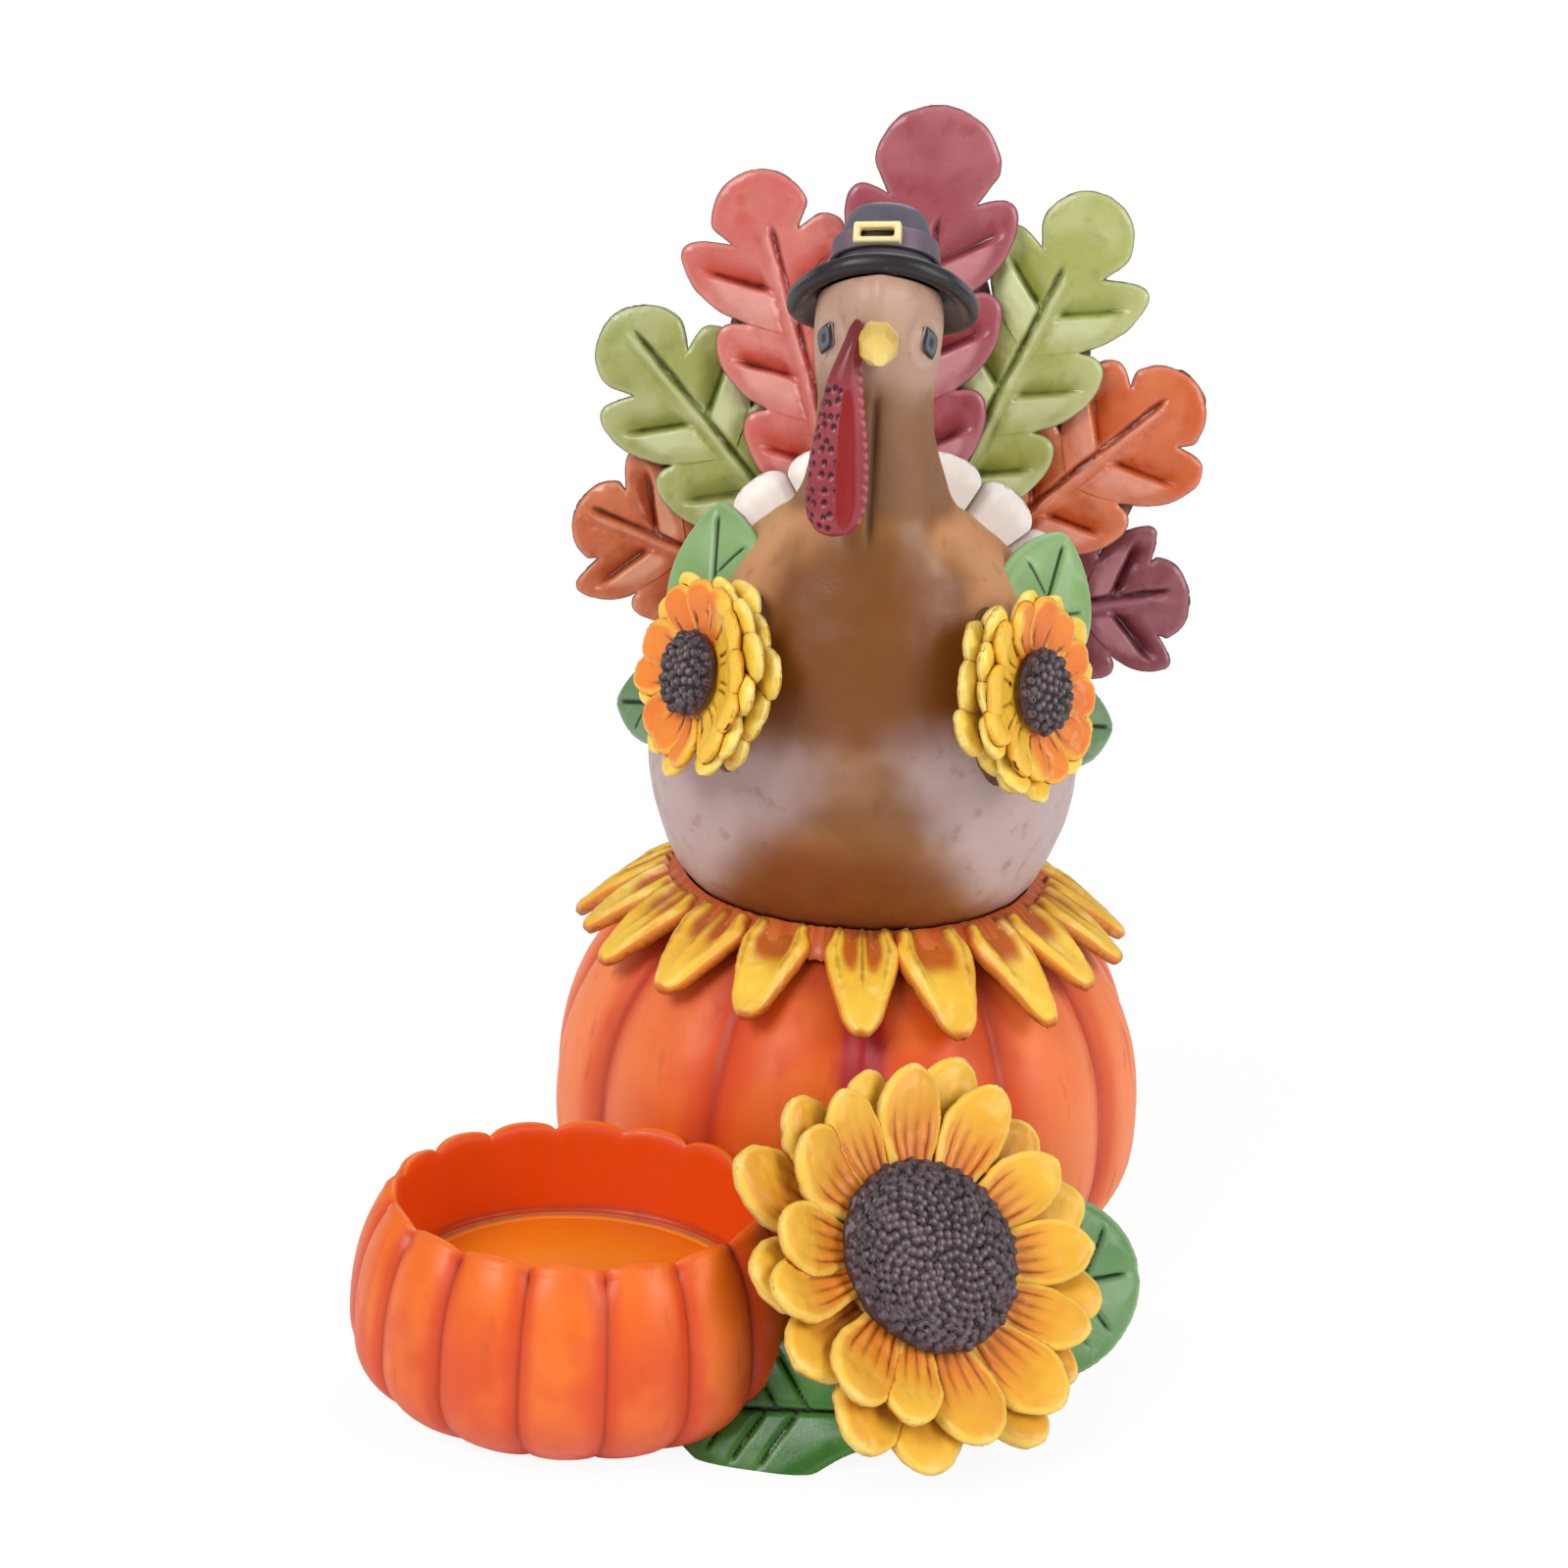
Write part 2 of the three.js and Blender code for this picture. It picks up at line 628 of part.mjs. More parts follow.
// Point off the shoulder, a run down it from the pumpkin's seat and a lift away from it
function onShoulder(bearing, run, lift) {
  const share = run / shoulderLine.getLength();
  const spot = shoulderLine.getPointAt(share);
  const slope = shoulderLine.getTangentAt(share);
  return level(bearing).multiplyScalar(spot.x - slope.y * lift).setZ(spot.y + slope.x * lift);
}

function collar() {
  const columns = 4 * COLLAR_PETALS;
  const ringMiddle = COLLAR_RING_WIDTH / 2;
  const beside = (height, bearing) => {
    return turkeySurface(height, bearing).addScaledVector(level(bearing), 2 * GLUE_GAP);
  };
  return loft(steps(columns, (i) => {
    const bearing = (i * 360) / columns;
    const side = Math.abs((((i + 2) % 4) - 2) / 2);
    const reach = lerp(COLLAR_PETAL_LENGTH, COLLAR_RING_WIDTH, Math.pow(side, 2));
    const ridge = side === 0.5 ? 1 : side === 0 ? 0.75 : 0.5;
    const flare = COLLAR_PETAL_FLARE * (reach / COLLAR_PETAL_LENGTH) ** 2;
    return [
      beside(BODY_FOOT, bearing),
      beside(BODY_FOOT + COLLAR_PETAL_THICKNESS, bearing),
      onShoulder(bearing, reach * 0.55, GLUE_GAP + flare * 0.3 + COLLAR_PETAL_THICKNESS * ridge),
      onShoulder(bearing, reach, GLUE_GAP + flare + COLLAR_PETAL_THICKNESS * 0.5),
      onShoulder(bearing, reach - COLLAR_PETAL_UNDERCUT, GLUE_GAP + flare),
      onShoulder(bearing, lerp(ringMiddle, reach, 0.5), 2 * GLUE_GAP + flare * 0.2),
      onShoulder(bearing, ringMiddle, 2 * GLUE_GAP),
      onShoulder(bearing, 0, 1.5 * GLUE_GAP),
    ];
  }), true);
}
piece("petal_collar", collar(), PAINT.collar);

// Beak: a short faceted cone that droops to its tip
const beakHeight = CHIN_HEIGHT + HEAD_HEIGHT * 0.38;

function beak(grow) {
  const front = turkeySurface(beakHeight, 0);
  const shape = [[-BEAK_ROOT, 1, 0], [0.4, 1, 0], [0.7, 0.8, -0.35], [1, 0.4, -1]];
  return loft(shape.map(([share, size, drop]) => steps(8, (i) => {
    const turn = ((i + 0.5) / 8) * 2 * Math.PI;
    const radius = (BEAK_WIDTH / 2) * size + grow;
    const out = share < 0 ? share : BEAK_LENGTH * share;
    const rise = radius * Math.sin(turn) + BEAK_DROOP * drop;
    const offset = new THREE.Vector3(radius * Math.cos(turn), -out, rise);
    return offset.add(front);
  })));
}
piece("beak", cut(beak(0), turkeySeat), PAINT.beak);

// Snood: the soft flap that starts beside the beak and hangs in front of the neck
function snood() {
  const face = turkeySurface(beakHeight, 0);
  const inside = SNOOD_ARCH / 2;
  const root = face.clone().add(new THREE.Vector3(-SNOOD_SIDE_SHIFT, inside, SNOOD_RISE));
  const hang = -NECK_FORWARD - NECK_DEPTH / 2 - SNOOD_DEPTH / 2 - GLUE_GAP;
  const side = root.x - SNOOD_SIDE_SHIFT * 0.65;
  const line = new THREE.CatmullRomCurve3([
    root,
    new THREE.Vector3(root.x - SNOOD_SIDE_SHIFT * 0.4, face.y - SNOOD_ARCH, root.z - SNOOD_RISE * 0.27),
    new THREE.Vector3(side, hang - SNOOD_ARCH * 0.6, root.z - SNOOD_LENGTH * 0.3),
    new THREE.Vector3(side, hang - SNOOD_ARCH * 0.35, root.z - SNOOD_LENGTH * 0.62),
    new THREE.Vector3(side, hang - SNOOD_ARCH * 0.8, root.z - SNOOD_LENGTH),
  ]);
  return loft([0, 0.14, 0.28, 0.45, 0.62, 0.8, 0.94, 1].map((share) => {
    const centre = line.getPointAt(share);
    const run = line.getTangentAt(share);
    const across = new THREE.Vector3().crossVectors(run, new THREE.Vector3(0, -1, -0.4)).normalize();
    const out = new THREE.Vector3().crossVectors(across, run);
    const size = lerp(0.36, 1, smoothstep(share, 0, 0.75)) * Math.sqrt(1 - 0.75 * smoothstep(share, 0.75, 1));
    return steps(8, (i) => {
      const turn = (i / 8) * 2 * Math.PI;
      return centre.clone()
        .addScaledVector(across, (SNOOD_WIDTH / 2) * size * Math.cos(turn))
        .addScaledVector(out, (SNOOD_DEPTH / 2) * size * Math.sin(turn));
    });
  }));
}
piece("snood", cut(snood(), turkeySeat, beak(GLUE_GAP)), PAINT.snood);

// Eyes: raised almonds on the sides of the head
function eye(bearing) {
  const spot = turkeySurface(beakHeight - EYE_HEIGHT * 0.09, bearing);
  return new THREE.SphereGeometry(1, 10, 6)
    .scale(EYE_WIDTH / 2, EYE_HEIGHT / 2, EYE_STAND)
    .applyMatrix4(facing(spot, bearing, 0));
}
piece("eye_left", cut(eye(-EYE_BEARING), turkeySeat), PAINT.eye);
piece("eye_right", cut(eye(EYE_BEARING), turkeySeat), PAINT.eye);

// Tail fan, in a frame that faces the front and leans back; leaves point up +Y and turn about +Z
const tailFrame = facing(new THREE.Vector3(TAIL_SIDE_SHIFT, TAIL_SETBACK, TAIL_HEIGHT), 0, TAIL_TILT);
const tail = framed(tailFrame);
const tailTurkey = placed(turkeySeat, tailFrame.clone().invert());
const TAIL_PITCH = TAIL_LEAF_FRONT + TAIL_LEAF_BACK + GLUE_GAP;

// Half width of an oak leaf along its length: round lobes on a swelling blade, ending in a round tip lobe
const LOBE_PITCH = 0.185;
const TIP_LOBE = 0.925;

function lobeShare(share) {
  const along = (TIP_LOBE - Math.min(share, TIP_LOBE)) / LOBE_PITCH;
  const offCentre = 2 * Math.abs(along - Math.round(along));
  return Math.pow(1 - Math.pow(offCentre, 2.2), 0.45);
}

const WIDEST_SHARE = 0.7;

function oakEnvelope(share, { width, tipWidth }) {
  const along = Math.min(share, TIP_LOBE);
  const pastWidest = Math.max(0, (along - WIDEST_SHARE) / (TIP_LOBE - WIDEST_SHARE));
  const beforeWidest = Math.min(0, along - WIDEST_SHARE);
  const blade = lerp(width, tipWidth, pastWidest ** 2) * (1 - 2 * beforeWidest ** 2);
  return (blade / 2) * Math.sqrt(1 - 0.95 * ((share - along) / (1 - TIP_LOBE)) ** 2);
}

function oakHalf(share, leaf) {
  return oakEnvelope(share, leaf) * lerp(0.45, 1, lobeShare(share));
}

const OAK_ROOT = 0.27;
const OAK_LOBES = 3;
const LOBE_PHASES = [0.8, 0.64, 0.5, 0.36, 0.2, 0];
const LOBE_SHARES = steps(OAK_LOBES, (i) => LOBE_PHASES.map((phase) => TIP_LOBE - (i + phase) * LOBE_PITCH));
const OAK_SHARES = [OAK_ROOT, 0.34, ...LOBE_SHARES.reverse().flat(), 0.96, 0.985, 1];

function oakSlant(share) {
  return 0.4 * (1 - smoothstep(share, 0.6, TIP_LOBE));
}

function oakLeaf(leaf) {
  return loft(OAK_SHARES.map((share) => bladeRing({
    ...FLAT,
    centre: new THREE.Vector3(0, leaf.length * share, 0),
    half: oakHalf(share, leaf),
    slant: oakSlant(share),
    rim: TAIL_LEAF_RIM,
    crown: TAIL_LEAF_FRONT * lerp(0.55, 1, lobeShare(share)),
    crease: TAIL_LEAF_FRONT * 0.25,
    under: TAIL_LEAF_BACK,
  })));
}

// Space that an oak leaf takes up, with the glue gap round it and without the bays between its lobes
function oakSpace(leaf) {
  return loft([OAK_ROOT, 0.4, 0.55, 0.7, 0.82, TIP_LOBE, 0.97, 1].map((share) => {
    const half = oakEnvelope(share, leaf) + 2 * GLUE_GAP;
    const reach = leaf.length * share + 3 * GLUE_GAP * Math.sign(share - 0.5);
    const ahead = reach + (share === OAK_ROOT ? 0 : half * oakSlant(share));
    const [front, back] = [TAIL_LEAF_FRONT + GLUE_GAP, -TAIL_LEAF_BACK - GLUE_GAP];
    const outline = [[-half, ahead], [0, reach], [half, ahead]];
    const face = (height) => outline.map(([x, y]) => new THREE.Vector3(x, y, height));
    return [...face(front), ...face(back).reverse()];
  }));
}

// Seven leaves of the fan: the turn of each from upright, its size and how many layers it lies back
const TAIL_LEAVES = [
  {
    name: "tail_leaf_middle",
    turn: 4.3,
    length: TAIL_MIDDLE_LENGTH,
    width: TAIL_UPPER_WIDTH,
    tipWidth: TAIL_MIDDLE_TIP_WIDTH,
    layer: 0,
    coat: PAINT.maroon,
  },
  {
    name: "tail_leaf_left_upper",
    turn: -18.2,
    length: TAIL_LEFT_UPPER_LENGTH,
    width: TAIL_UPPER_WIDTH,
    tipWidth: TAIL_TIP_WIDTH,
    layer: 1,
    coat: PAINT.red,
  },
  {
    name: "tail_leaf_right_upper",
    turn: 24.6,
    length: TAIL_RIGHT_UPPER_LENGTH,
    width: TAIL_UPPER_WIDTH,
    tipWidth: TAIL_TIP_WIDTH,
    layer: 1,
    coat: PAINT.green,
  },
  {
    name: "tail_leaf_left_middle",
    turn: -42.2,
    length: TAIL_LEFT_SIDE_LENGTH,
    width: TAIL_SIDE_WIDTH,
    tipWidth: TAIL_TIP_WIDTH,
    layer: 2,
    coat: PAINT.green,
  },
  {
    name: "tail_leaf_right_middle",
    turn: 48.6,
    length: TAIL_RIGHT_SIDE_LENGTH,
    width: TAIL_SIDE_WIDTH,
    tipWidth: TAIL_TIP_WIDTH,
    layer: 2,
    coat: PAINT.orange,
  },
  {
    name: "tail_leaf_left_lower",
    turn: -72.3,
    length: TAIL_LEFT_LOWER_LENGTH,
    width: TAIL_LOWER_WIDTH,
    tipWidth: TAIL_LOWER_TIP_WIDTH,
    layer: 3,
    coat: PAINT.orange,
  },
  {
    name: "tail_leaf_right_lower",
    turn: 80.5,
    length: TAIL_RIGHT_LOWER_LENGTH,
    width: TAIL_LOWER_WIDTH,
    tipWidth: TAIL_LOWER_TIP_WIDTH,
    layer: 3,
    coat: PAINT.maroon,
  },
];

function inTail(geometry, leaf) {
  return geometry.rotateZ(-degToRad(leaf.turn)).translate(0, 0, -leaf.layer * TAIL_PITCH);
}

for (const leaf of TAIL_LEAVES) {
  piece(leaf.name, cut(inTail(oakLeaf(leaf), leaf), tailTurkey), leaf.coat, tail);
}

// Backing: a tongue behind each leaf, all from one back plane, that seats on the turkey's back
function tongue(leaf, back, front) {
  const [reach, half] = [leaf.length * 0.7, leaf.width * 0.4];
  const shape = new THREE.Shape();
  shape.moveTo(-half * 0.6, -TAIL_ROOT_LENGTH);
  shape.lineTo(half * 0.6, -TAIL_ROOT_LENGTH);
  shape.quadraticCurveTo(half * 1.3, reach * 0.75, half * 0.5, reach * 0.95);
  shape.quadraticCurveTo(0, reach * 1.05, -half * 0.5, reach * 0.95);
  shape.quadraticCurveTo(-half * 1.3, reach * 0.75, -half * 0.6, -TAIL_ROOT_LENGTH);
  const form = { depth: front - back, bevelEnabled: false, curveSegments: 4 };
  const slab = new THREE.ExtrudeGeometry(shape, form);
  return slab.translate(0, 0, back).rotateZ(-degToRad(leaf.turn));
}

function tailBacking() {
  const layerBack = (layer) => -layer * TAIL_PITCH - TAIL_LEAF_BACK - GLUE_GAP;
  const back = layerBack(3) - TAIL_BACKING_THICKNESS;
  const tongues = TAIL_LEAVES.map((leaf) => tongue(leaf, back, layerBack(leaf.layer)));
  return cut(join(...tongues), tailTurkey, ...TAIL_LEAVES.map((leaf) => inTail(oakSpace(leaf), leaf)));
}
piece("tail_backing", tailBacking(), PAINT.backing, tail);

// White covert feathers between the turkey's back and the tail leaves
function covert(step) {
  const root = COVERT_REACH - COVERT_LENGTH;
  const base = TAIL_LEAF_FRONT + GLUE_GAP - TAIL_PITCH * Math.max(0, Math.abs(step) - 1);
  const wedge = Math.tan(degToRad(COVERT_STEP / 2));
  const feather = loft([0, 0.8, 1].map((share) => {
    const reach = lerp(root, COVERT_REACH, share);
    const side = Math.min(reach * wedge, COVERT_WIDTH / 2) - GLUE_GAP / 2;
    return bladeRing({
      ...FLAT,
      centre: new THREE.Vector3(0, reach, base),
      half: side * (1 - 0.3 * smoothstep(share, 0.8, 1)),
      rim: COVERT_THICKNESS * 0.5,
      crown: COVERT_THICKNESS * (1 - 0.4 * smoothstep(share, 0.8, 1)),
      crease: COVERT_THICKNESS * 0.8 * (1 - 0.3 * smoothstep(share, 0.8, 1)),
      under: 0,
    });
  }));
  return cut(feather.rotateZ(-degToRad(COVERT_STEP * step)), tailTurkey);
}
["left_outer", "left_middle", "left_inner", "centre", "right_inner", "right_middle", "right_outer"]
  .forEach((place, i) => piece(`covert_feather_${place}`, covert(i - 3), PAINT.white, tail));

// Plain pointed leaf along +Y, lying on its own plane
function pointedLeaf({ length, width, thickness, point }) {
  return loft([0, 0.2, 0.42, 0.65, 0.83, 0.95, 1].map((share) => bladeRing({
    ...FLAT,
    centre: new THREE.Vector3(0, length * share, 0),
    half: petalHalf(share, width / 2, 0.45, 0.42, point),
    slant: 0.2 * (1 - share),
    rim: thickness * 0.45,
    crown: thickness * (1 - 0.2 * share),
    crease: thickness * 0.55,
    under: 0,
  })));
}

// Frame on the breast that a wing's pad, petals and seed disc stack out from
function wingFrame(side) {
  return facing(turkeySurface(WING_HEIGHT, side * WING_BEARING), side * WING_FACING, WING_LEAN);
}

function wingPad(grow) {
  return new THREE.SphereGeometry(1, 12, 7)
    .scale(WING_PAD_WIDTH / 2 + grow, WING_PAD_HEIGHT / 2 + grow, 2 * WING_PAD_STAND + grow)
    .translate(0, 0, -WING_PAD_STAND);
}

// Spaces that a wing's pad and petals take up, for the leaves behind them
function wingStops(side) {
  const frame = wingFrame(side);
  const behindPetals = WING_PAD_STAND;
  const reach = WING_FLOWER_RADIUS * 1.08;
  const petals = rod(reach, WING_FLOWER_RADIUS, behindPetals + WING_FLOWER_RADIUS / 2, 24);
  return { pad: placed(wingPad(GLUE_GAP), frame), petals: placed(petals, frame) };
}

function wing(side, name) {
  const frame = wingFrame(side);
  const group = framed(frame);
  const turkey = placed(turkeySeat, frame.clone().invert());
  piece(`wing_pad_${name}`, cut(wingPad(0), turkey), PAINT.brown, group);
  const lowRow = WING_PAD_STAND + GLUE_GAP;
  const highRow = lowRow + WING_PETAL_THICKNESS + GLUE_GAP;
  const seedRow = highRow + WING_PETAL_THICKNESS + GLUE_GAP;
  const row = (base, tip, turn) => petalRow({
    count: WING_PETALS,
    turn,
    hub: WING_SEED_RADIUS,
    bottom: base,
    top: base + WING_PETAL_THICKNESS,
    root: WING_SEED_RADIUS - WING_ROOT_INSET,
    tip,
    level: base + WING_PETAL_THICKNESS / 2,
    lift: WING_PETAL_LIFT,
    thickness: WING_PETAL_THICKNESS,
    point: 0.6,
    creased: false,
  });
  const halfStep = 180 / WING_PETALS;
  const backRow = row(lowRow, WING_FLOWER_RADIUS, 0);
  const frontRow = row(highRow, WING_FRONT_RADIUS, halfStep);
  const seeds = seedDisc(WING_SEED_RADIUS, seedRow, WING_SEED_HEIGHT, 14);
  piece(`wing_flower_back_petals_${name}`, backRow, PAINT.petal, group);
  piece(`wing_flower_front_petals_${name}`, frontRow, PAINT.innerPetal, group);
  piece(`wing_flower_seed_disc_${name}`, seeds, PAINT.seed, group);
}

// Domed seed disc with a rolled edge, from its underside up
function seedDisc(radius, bottom, height, segments) {
  return turned([
    [0, bottom],
    [radius * 0.75, bottom],
    [radius * 0.97, bottom + height * 0.2],
    [radius, bottom + height * 0.45],
    [radius * 0.88, bottom + height * 0.78],
    [radius * 0.6, bottom + height * 0.96],
    [0, bottom + height],
  ], segments);
}
wing(-1, "left");
wing(1, "right");

// Leaf in the space: its base and the way it faces are given, and it turns about that way
function spreadLeaf({ origin, bearing, elevation, turn, ...shape }) {
  return pointedLeaf(shape).rotateZ(-degToRad(turn)).applyMatrix4(facing(origin, bearing, elevation));
}

// Two leaves tucked behind a wing's flower: one up the shoulder, one back along the side
function wingLeaves(side, name, upperTurn) {
  const inset = level(side * WING_FACING).multiplyScalar(-WING_LEAF_INSET);
  const shape = { width: WING_LEAF_WIDTH, thickness: WING_LEAF_THICKNESS, point: 0.75 };
  const upper = spreadLeaf({
    ...shape,
    origin: turkeySurface(WING_HEIGHT, side * (WING_BEARING + 13)).add(inset),
    bearing: side * (WING_FACING - 16),
    elevation: WING_LEAN + 10,
    turn: upperTurn,
    length: WING_LEAF_LENGTH,
  });
  const lower = spreadLeaf({
    ...shape,
    origin: turkeySurface(WING_HEIGHT - WING_LEAF_DROP, side * (WING_BEARING + 19)).add(inset),
    bearing: side * (WING_FACING - 6),
    elevation: WING_LEAN,
    turn: side * 102,
    length: WING_SIDE_LEAF_LENGTH,
    width: WING_SIDE_LEAF_WIDTH,
  });
  const { pad, petals } = wingStops(side);
  piece(`wing_leaf_upper_${name}`, cut(upper, turkeySeat, pad, petals), PAINT.wingLeaf);
  piece(`wing_leaf_lower_${name}`, cut(lower, turkeySeat, pad, petals), PAINT.wingLeaf);
}
wingLeaves(-1, "left", WING_LEAF_TURN_LEFT);
wingLeaves(1, "right", WING_LEAF_TURN_RIGHT);

// Tea-light cup, let into the side of the big pumpkin
const cupAxis = level(CUP_BEARING).multiplyScalar(PUMPKIN_RADIUS + CUP_RADIUS - CUP_BITE);

function cupRing(radius, height, grow, grooveDepth, scallop) {
  const count = CUP_RIBS * 3;
  return steps(count, (i) => {
    const bearing = CUP_GROOVE_BEARING + (i * 360) / count;
    const hollow = 1 - ribCrown(bearing, CUP_RIBS, CUP_GROOVE_BEARING);
    const reach = radius - grooveDepth * hollow + grow;
    return level(bearing).multiplyScalar(reach).setZ(height - scallop * hollow).add(cupAxis);
  });
}

function cupWall(grow) {
  const wall = pumpkinWall({
    radius: CUP_RADIUS,
    foot: CUP_FOOT_RADIUS,
    edge: CUP_RIM_RADIUS,
    waist: CUP_WAIST_HEIGHT,
    height: CUP_HEIGHT - CUP_RIM_ROUND,
    below: 2,
    above: 3,
  });
  return wall.map(([radius, height]) => cupRing(radius, height, grow, CUP_GROOVE_DEPTH, 0));
}

function candleCup() {
  const rim = (CUP_RIM_RADIUS + CUP_WELL_RADIUS) / 2;
  const rings = [
    ...cupWall(0),
    cupRing(rim, CUP_HEIGHT, 0, CUP_GROOVE_DEPTH / 3, CUP_RIM_SCALLOP),
    cupRing(CUP_WELL_RADIUS + CUP_WELL_TAPER, CUP_HEIGHT - CUP_RIM_ROUND, 0, 0, CUP_RIM_SCALLOP),
    cupRing(CUP_WELL_RADIUS, CUP_FLOOR_HEIGHT, 0, 0, 0),
  ];
  return cut(loft(rings), pumpkinSeat);
}
piece("candle_cup", candleCup(), PAINT.pumpkin);
const cupSeat = loft(cupWall(GLUE_GAP));
const candleSpace = rod(CUP_WELL_RADIUS + 2 * GLUE_GAP, 3 * CUP_HEIGHT, 2 * CUP_HEIGHT, 48)
  .translate(cupAxis.x, cupAxis.y, 0);
const ground = new THREE.BoxGeometry(6 * PUMPKIN_RADIUS, 6 * PUMPKIN_RADIUS, PUMPKIN_RADIUS)
  .translate(0, 0, -PUMPKIN_RADIUS / 2);

// Front sunflower: two rows of petals and a seed disc on a thick stem from the big pumpkin
const flowerCentre = level(FLOWER_BEARING).multiplyScalar(PUMPKIN_RADIUS + FLOWER_REACH).setZ(FLOWER_HEIGHT);
const flowerFrame = facing(flowerCentre, FLOWER_FACING, FLOWER_LEAN);
const flower = framed(flowerFrame);
const toFlower = flowerFrame.clone().invert();
const flowerStops = [cupSeat, candleSpace, ground, pumpkinSeat].map((stop) => placed(stop, toFlower));

const flowerRow = (base, tip, lift, turn) => petalRow({
  count: FLOWER_PETALS,
  turn,
  hub: FLOWER_SEED_RADIUS - FLOWER_HUB_INSET,
  bottom: base,
  top: base + FLOWER_PETAL_THICKNESS,
  root: FLOWER_SEED_RADIUS - FLOWER_ROOT_INSET,
  tip,
  level: base + FLOWER_PETAL_THICKNESS / 2,
  lift,
  thickness: FLOWER_PETAL_THICKNESS,
  point: 0.6,
  creased: true,
});
const flowerHighRow = FLOWER_PETAL_THICKNESS + GLUE_GAP;
const flowerSeedRow = flowerHighRow + FLOWER_PETAL_THICKNESS + GLUE_GAP;
const flowerBack = flowerRow(0, FLOWER_RADIUS, FLOWER_BACK_LIFT, 0);
const flowerFront = flowerRow(flowerHighRow, FLOWER_FRONT_RADIUS, FLOWER_FRONT_LIFT, 180 / FLOWER_PETALS);
const flowerSeeds = seedDisc(FLOWER_SEED_RADIUS, flowerSeedRow, FLOWER_SEED_HEIGHT, 24);
piece("front_flower_back_petals", cut(flowerBack, ...flowerStops), PAINT.flower, flower);
piece("front_flower_front_petals", cut(flowerFront, ...flowerStops), PAINT.flower, flower);
piece("front_flower_seed_disc", flowerSeeds, PAINT.seed, flower);

// Stem: turns from the flower's back to the pumpkin's wall
function flowerStem(grow) {
  const start = new THREE.Vector3(0, 0, -GLUE_GAP).applyMatrix4(flowerFrame);
  const end = level(FLOWER_BEARING).multiplyScalar(PUMPKIN_RADIUS - STEM_RADIUS / 2).setZ(STEM_RADIUS * 1.35);
  const middle = new THREE.Vector3(0, 0, -STEM_RADIUS).applyMatrix4(flowerFrame);
  const line = new THREE.QuadraticBezierCurve3(start, middle, end);
  return loft([0, 0.25, 0.5, 0.75, 1].map((share) => {
    const bearing = lerp(FLOWER_FACING, FLOWER_BEARING, share);
    const frame = facing(line.getPoint(share), bearing, lerp(FLOWER_LEAN, 0, share));
    const radius = STEM_RADIUS * lerp(1, 1.2, share) + grow;
    return steps(14, (i) => {
      const turn = (i / 14) * 2 * Math.PI;
      return new THREE.Vector3(radius * Math.cos(turn), radius * Math.sin(turn), 0).applyMatrix4(frame);
    });
  }));
}
piece("front_flower_stem", cut(flowerStem(0), pumpkinSeat, cupSeat, ground), PAINT.stem);
const stemSeat = flowerStem(GLUE_GAP);

// Leaf on the ground between the cup and the flower
const besideFlower = (right, behind, height) => {
  return new THREE.Vector3(flowerCentre.x + right, flowerCentre.y + behind, height);
};
const groundLeaf = spreadLeaf({
  origin: besideFlower(-GROUND_LEAF_SIDE, -GROUND_LEAF_AHEAD, GROUND_LEAF_HEIGHT),
  bearing: -10,
  elevation: 32,
  turn: -95,
  length: GROUND_LEAF_LENGTH,
  width: GROUND_LEAF_WIDTH,
  thickness: LEAF_THICKNESS,
  point: 0.75,
});
const backPetals = placed(flowerBack.clone().translate(0, 0, -GLUE_GAP), flowerFrame);
piece("ground_leaf_left", cut(groundLeaf, cupSeat, stemSeat, ground, backPetals), PAINT.groundLeaf);

// Leaf that stands out to the right from behind the flower
const sideLeaf = spreadLeaf({
  origin: besideFlower(SIDE_LEAF_SIDE, SIDE_LEAF_BEHIND, SIDE_LEAF_HEIGHT),
  bearing: 26,
  elevation: 20,
  turn: 88,
  length: SIDE_LEAF_LENGTH,
  width: SIDE_LEAF_WIDTH,
  thickness: LEAF_THICKNESS,
  point: 0.5,
});
piece("ground_leaf_right", cut(sideLeaf, pumpkinSeat, stemSeat, ground, backPetals), PAINT.groundLeaf);

export default figure;
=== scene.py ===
# %% [markdown]
# # A painted resin turkey that holds a tea light
# The real object is a small figure of cast polyresin, painted by hand. Each casting is glued to the next.
# The solids of the CAD model give every place and size here, in metres, and each one gets a finer,
# painted piece in the same place. Loading the frame comes first, because every piece depends on it.

import math
import random

import bpy
import numpy as np
from mathutils import Matrix, Vector
from mathutils.kdtree import KDTree


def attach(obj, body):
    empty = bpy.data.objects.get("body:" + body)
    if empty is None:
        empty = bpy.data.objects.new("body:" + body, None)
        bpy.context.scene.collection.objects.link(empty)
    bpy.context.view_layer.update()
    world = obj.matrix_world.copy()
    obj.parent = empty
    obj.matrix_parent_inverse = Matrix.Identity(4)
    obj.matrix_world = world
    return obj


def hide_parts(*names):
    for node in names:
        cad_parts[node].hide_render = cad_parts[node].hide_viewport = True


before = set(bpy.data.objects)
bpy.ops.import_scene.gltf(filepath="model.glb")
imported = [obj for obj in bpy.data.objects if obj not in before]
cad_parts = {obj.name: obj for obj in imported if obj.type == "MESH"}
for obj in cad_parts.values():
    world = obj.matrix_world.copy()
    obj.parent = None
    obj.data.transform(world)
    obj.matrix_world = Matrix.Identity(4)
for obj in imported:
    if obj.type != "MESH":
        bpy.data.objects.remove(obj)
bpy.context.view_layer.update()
MM = 0.001
GLUE_GAP = 0.3
SIDES = ((-1, "left"), (1, "right"))

# %% [markdown]
# ## Tools of the bench
# An operator acts on all that is selected, so `pick` clears the selection and takes one piece.
# `finish_with` adds a modifier and applies it. All the sizes below are in millimetres, as a modeller
# reads them off.

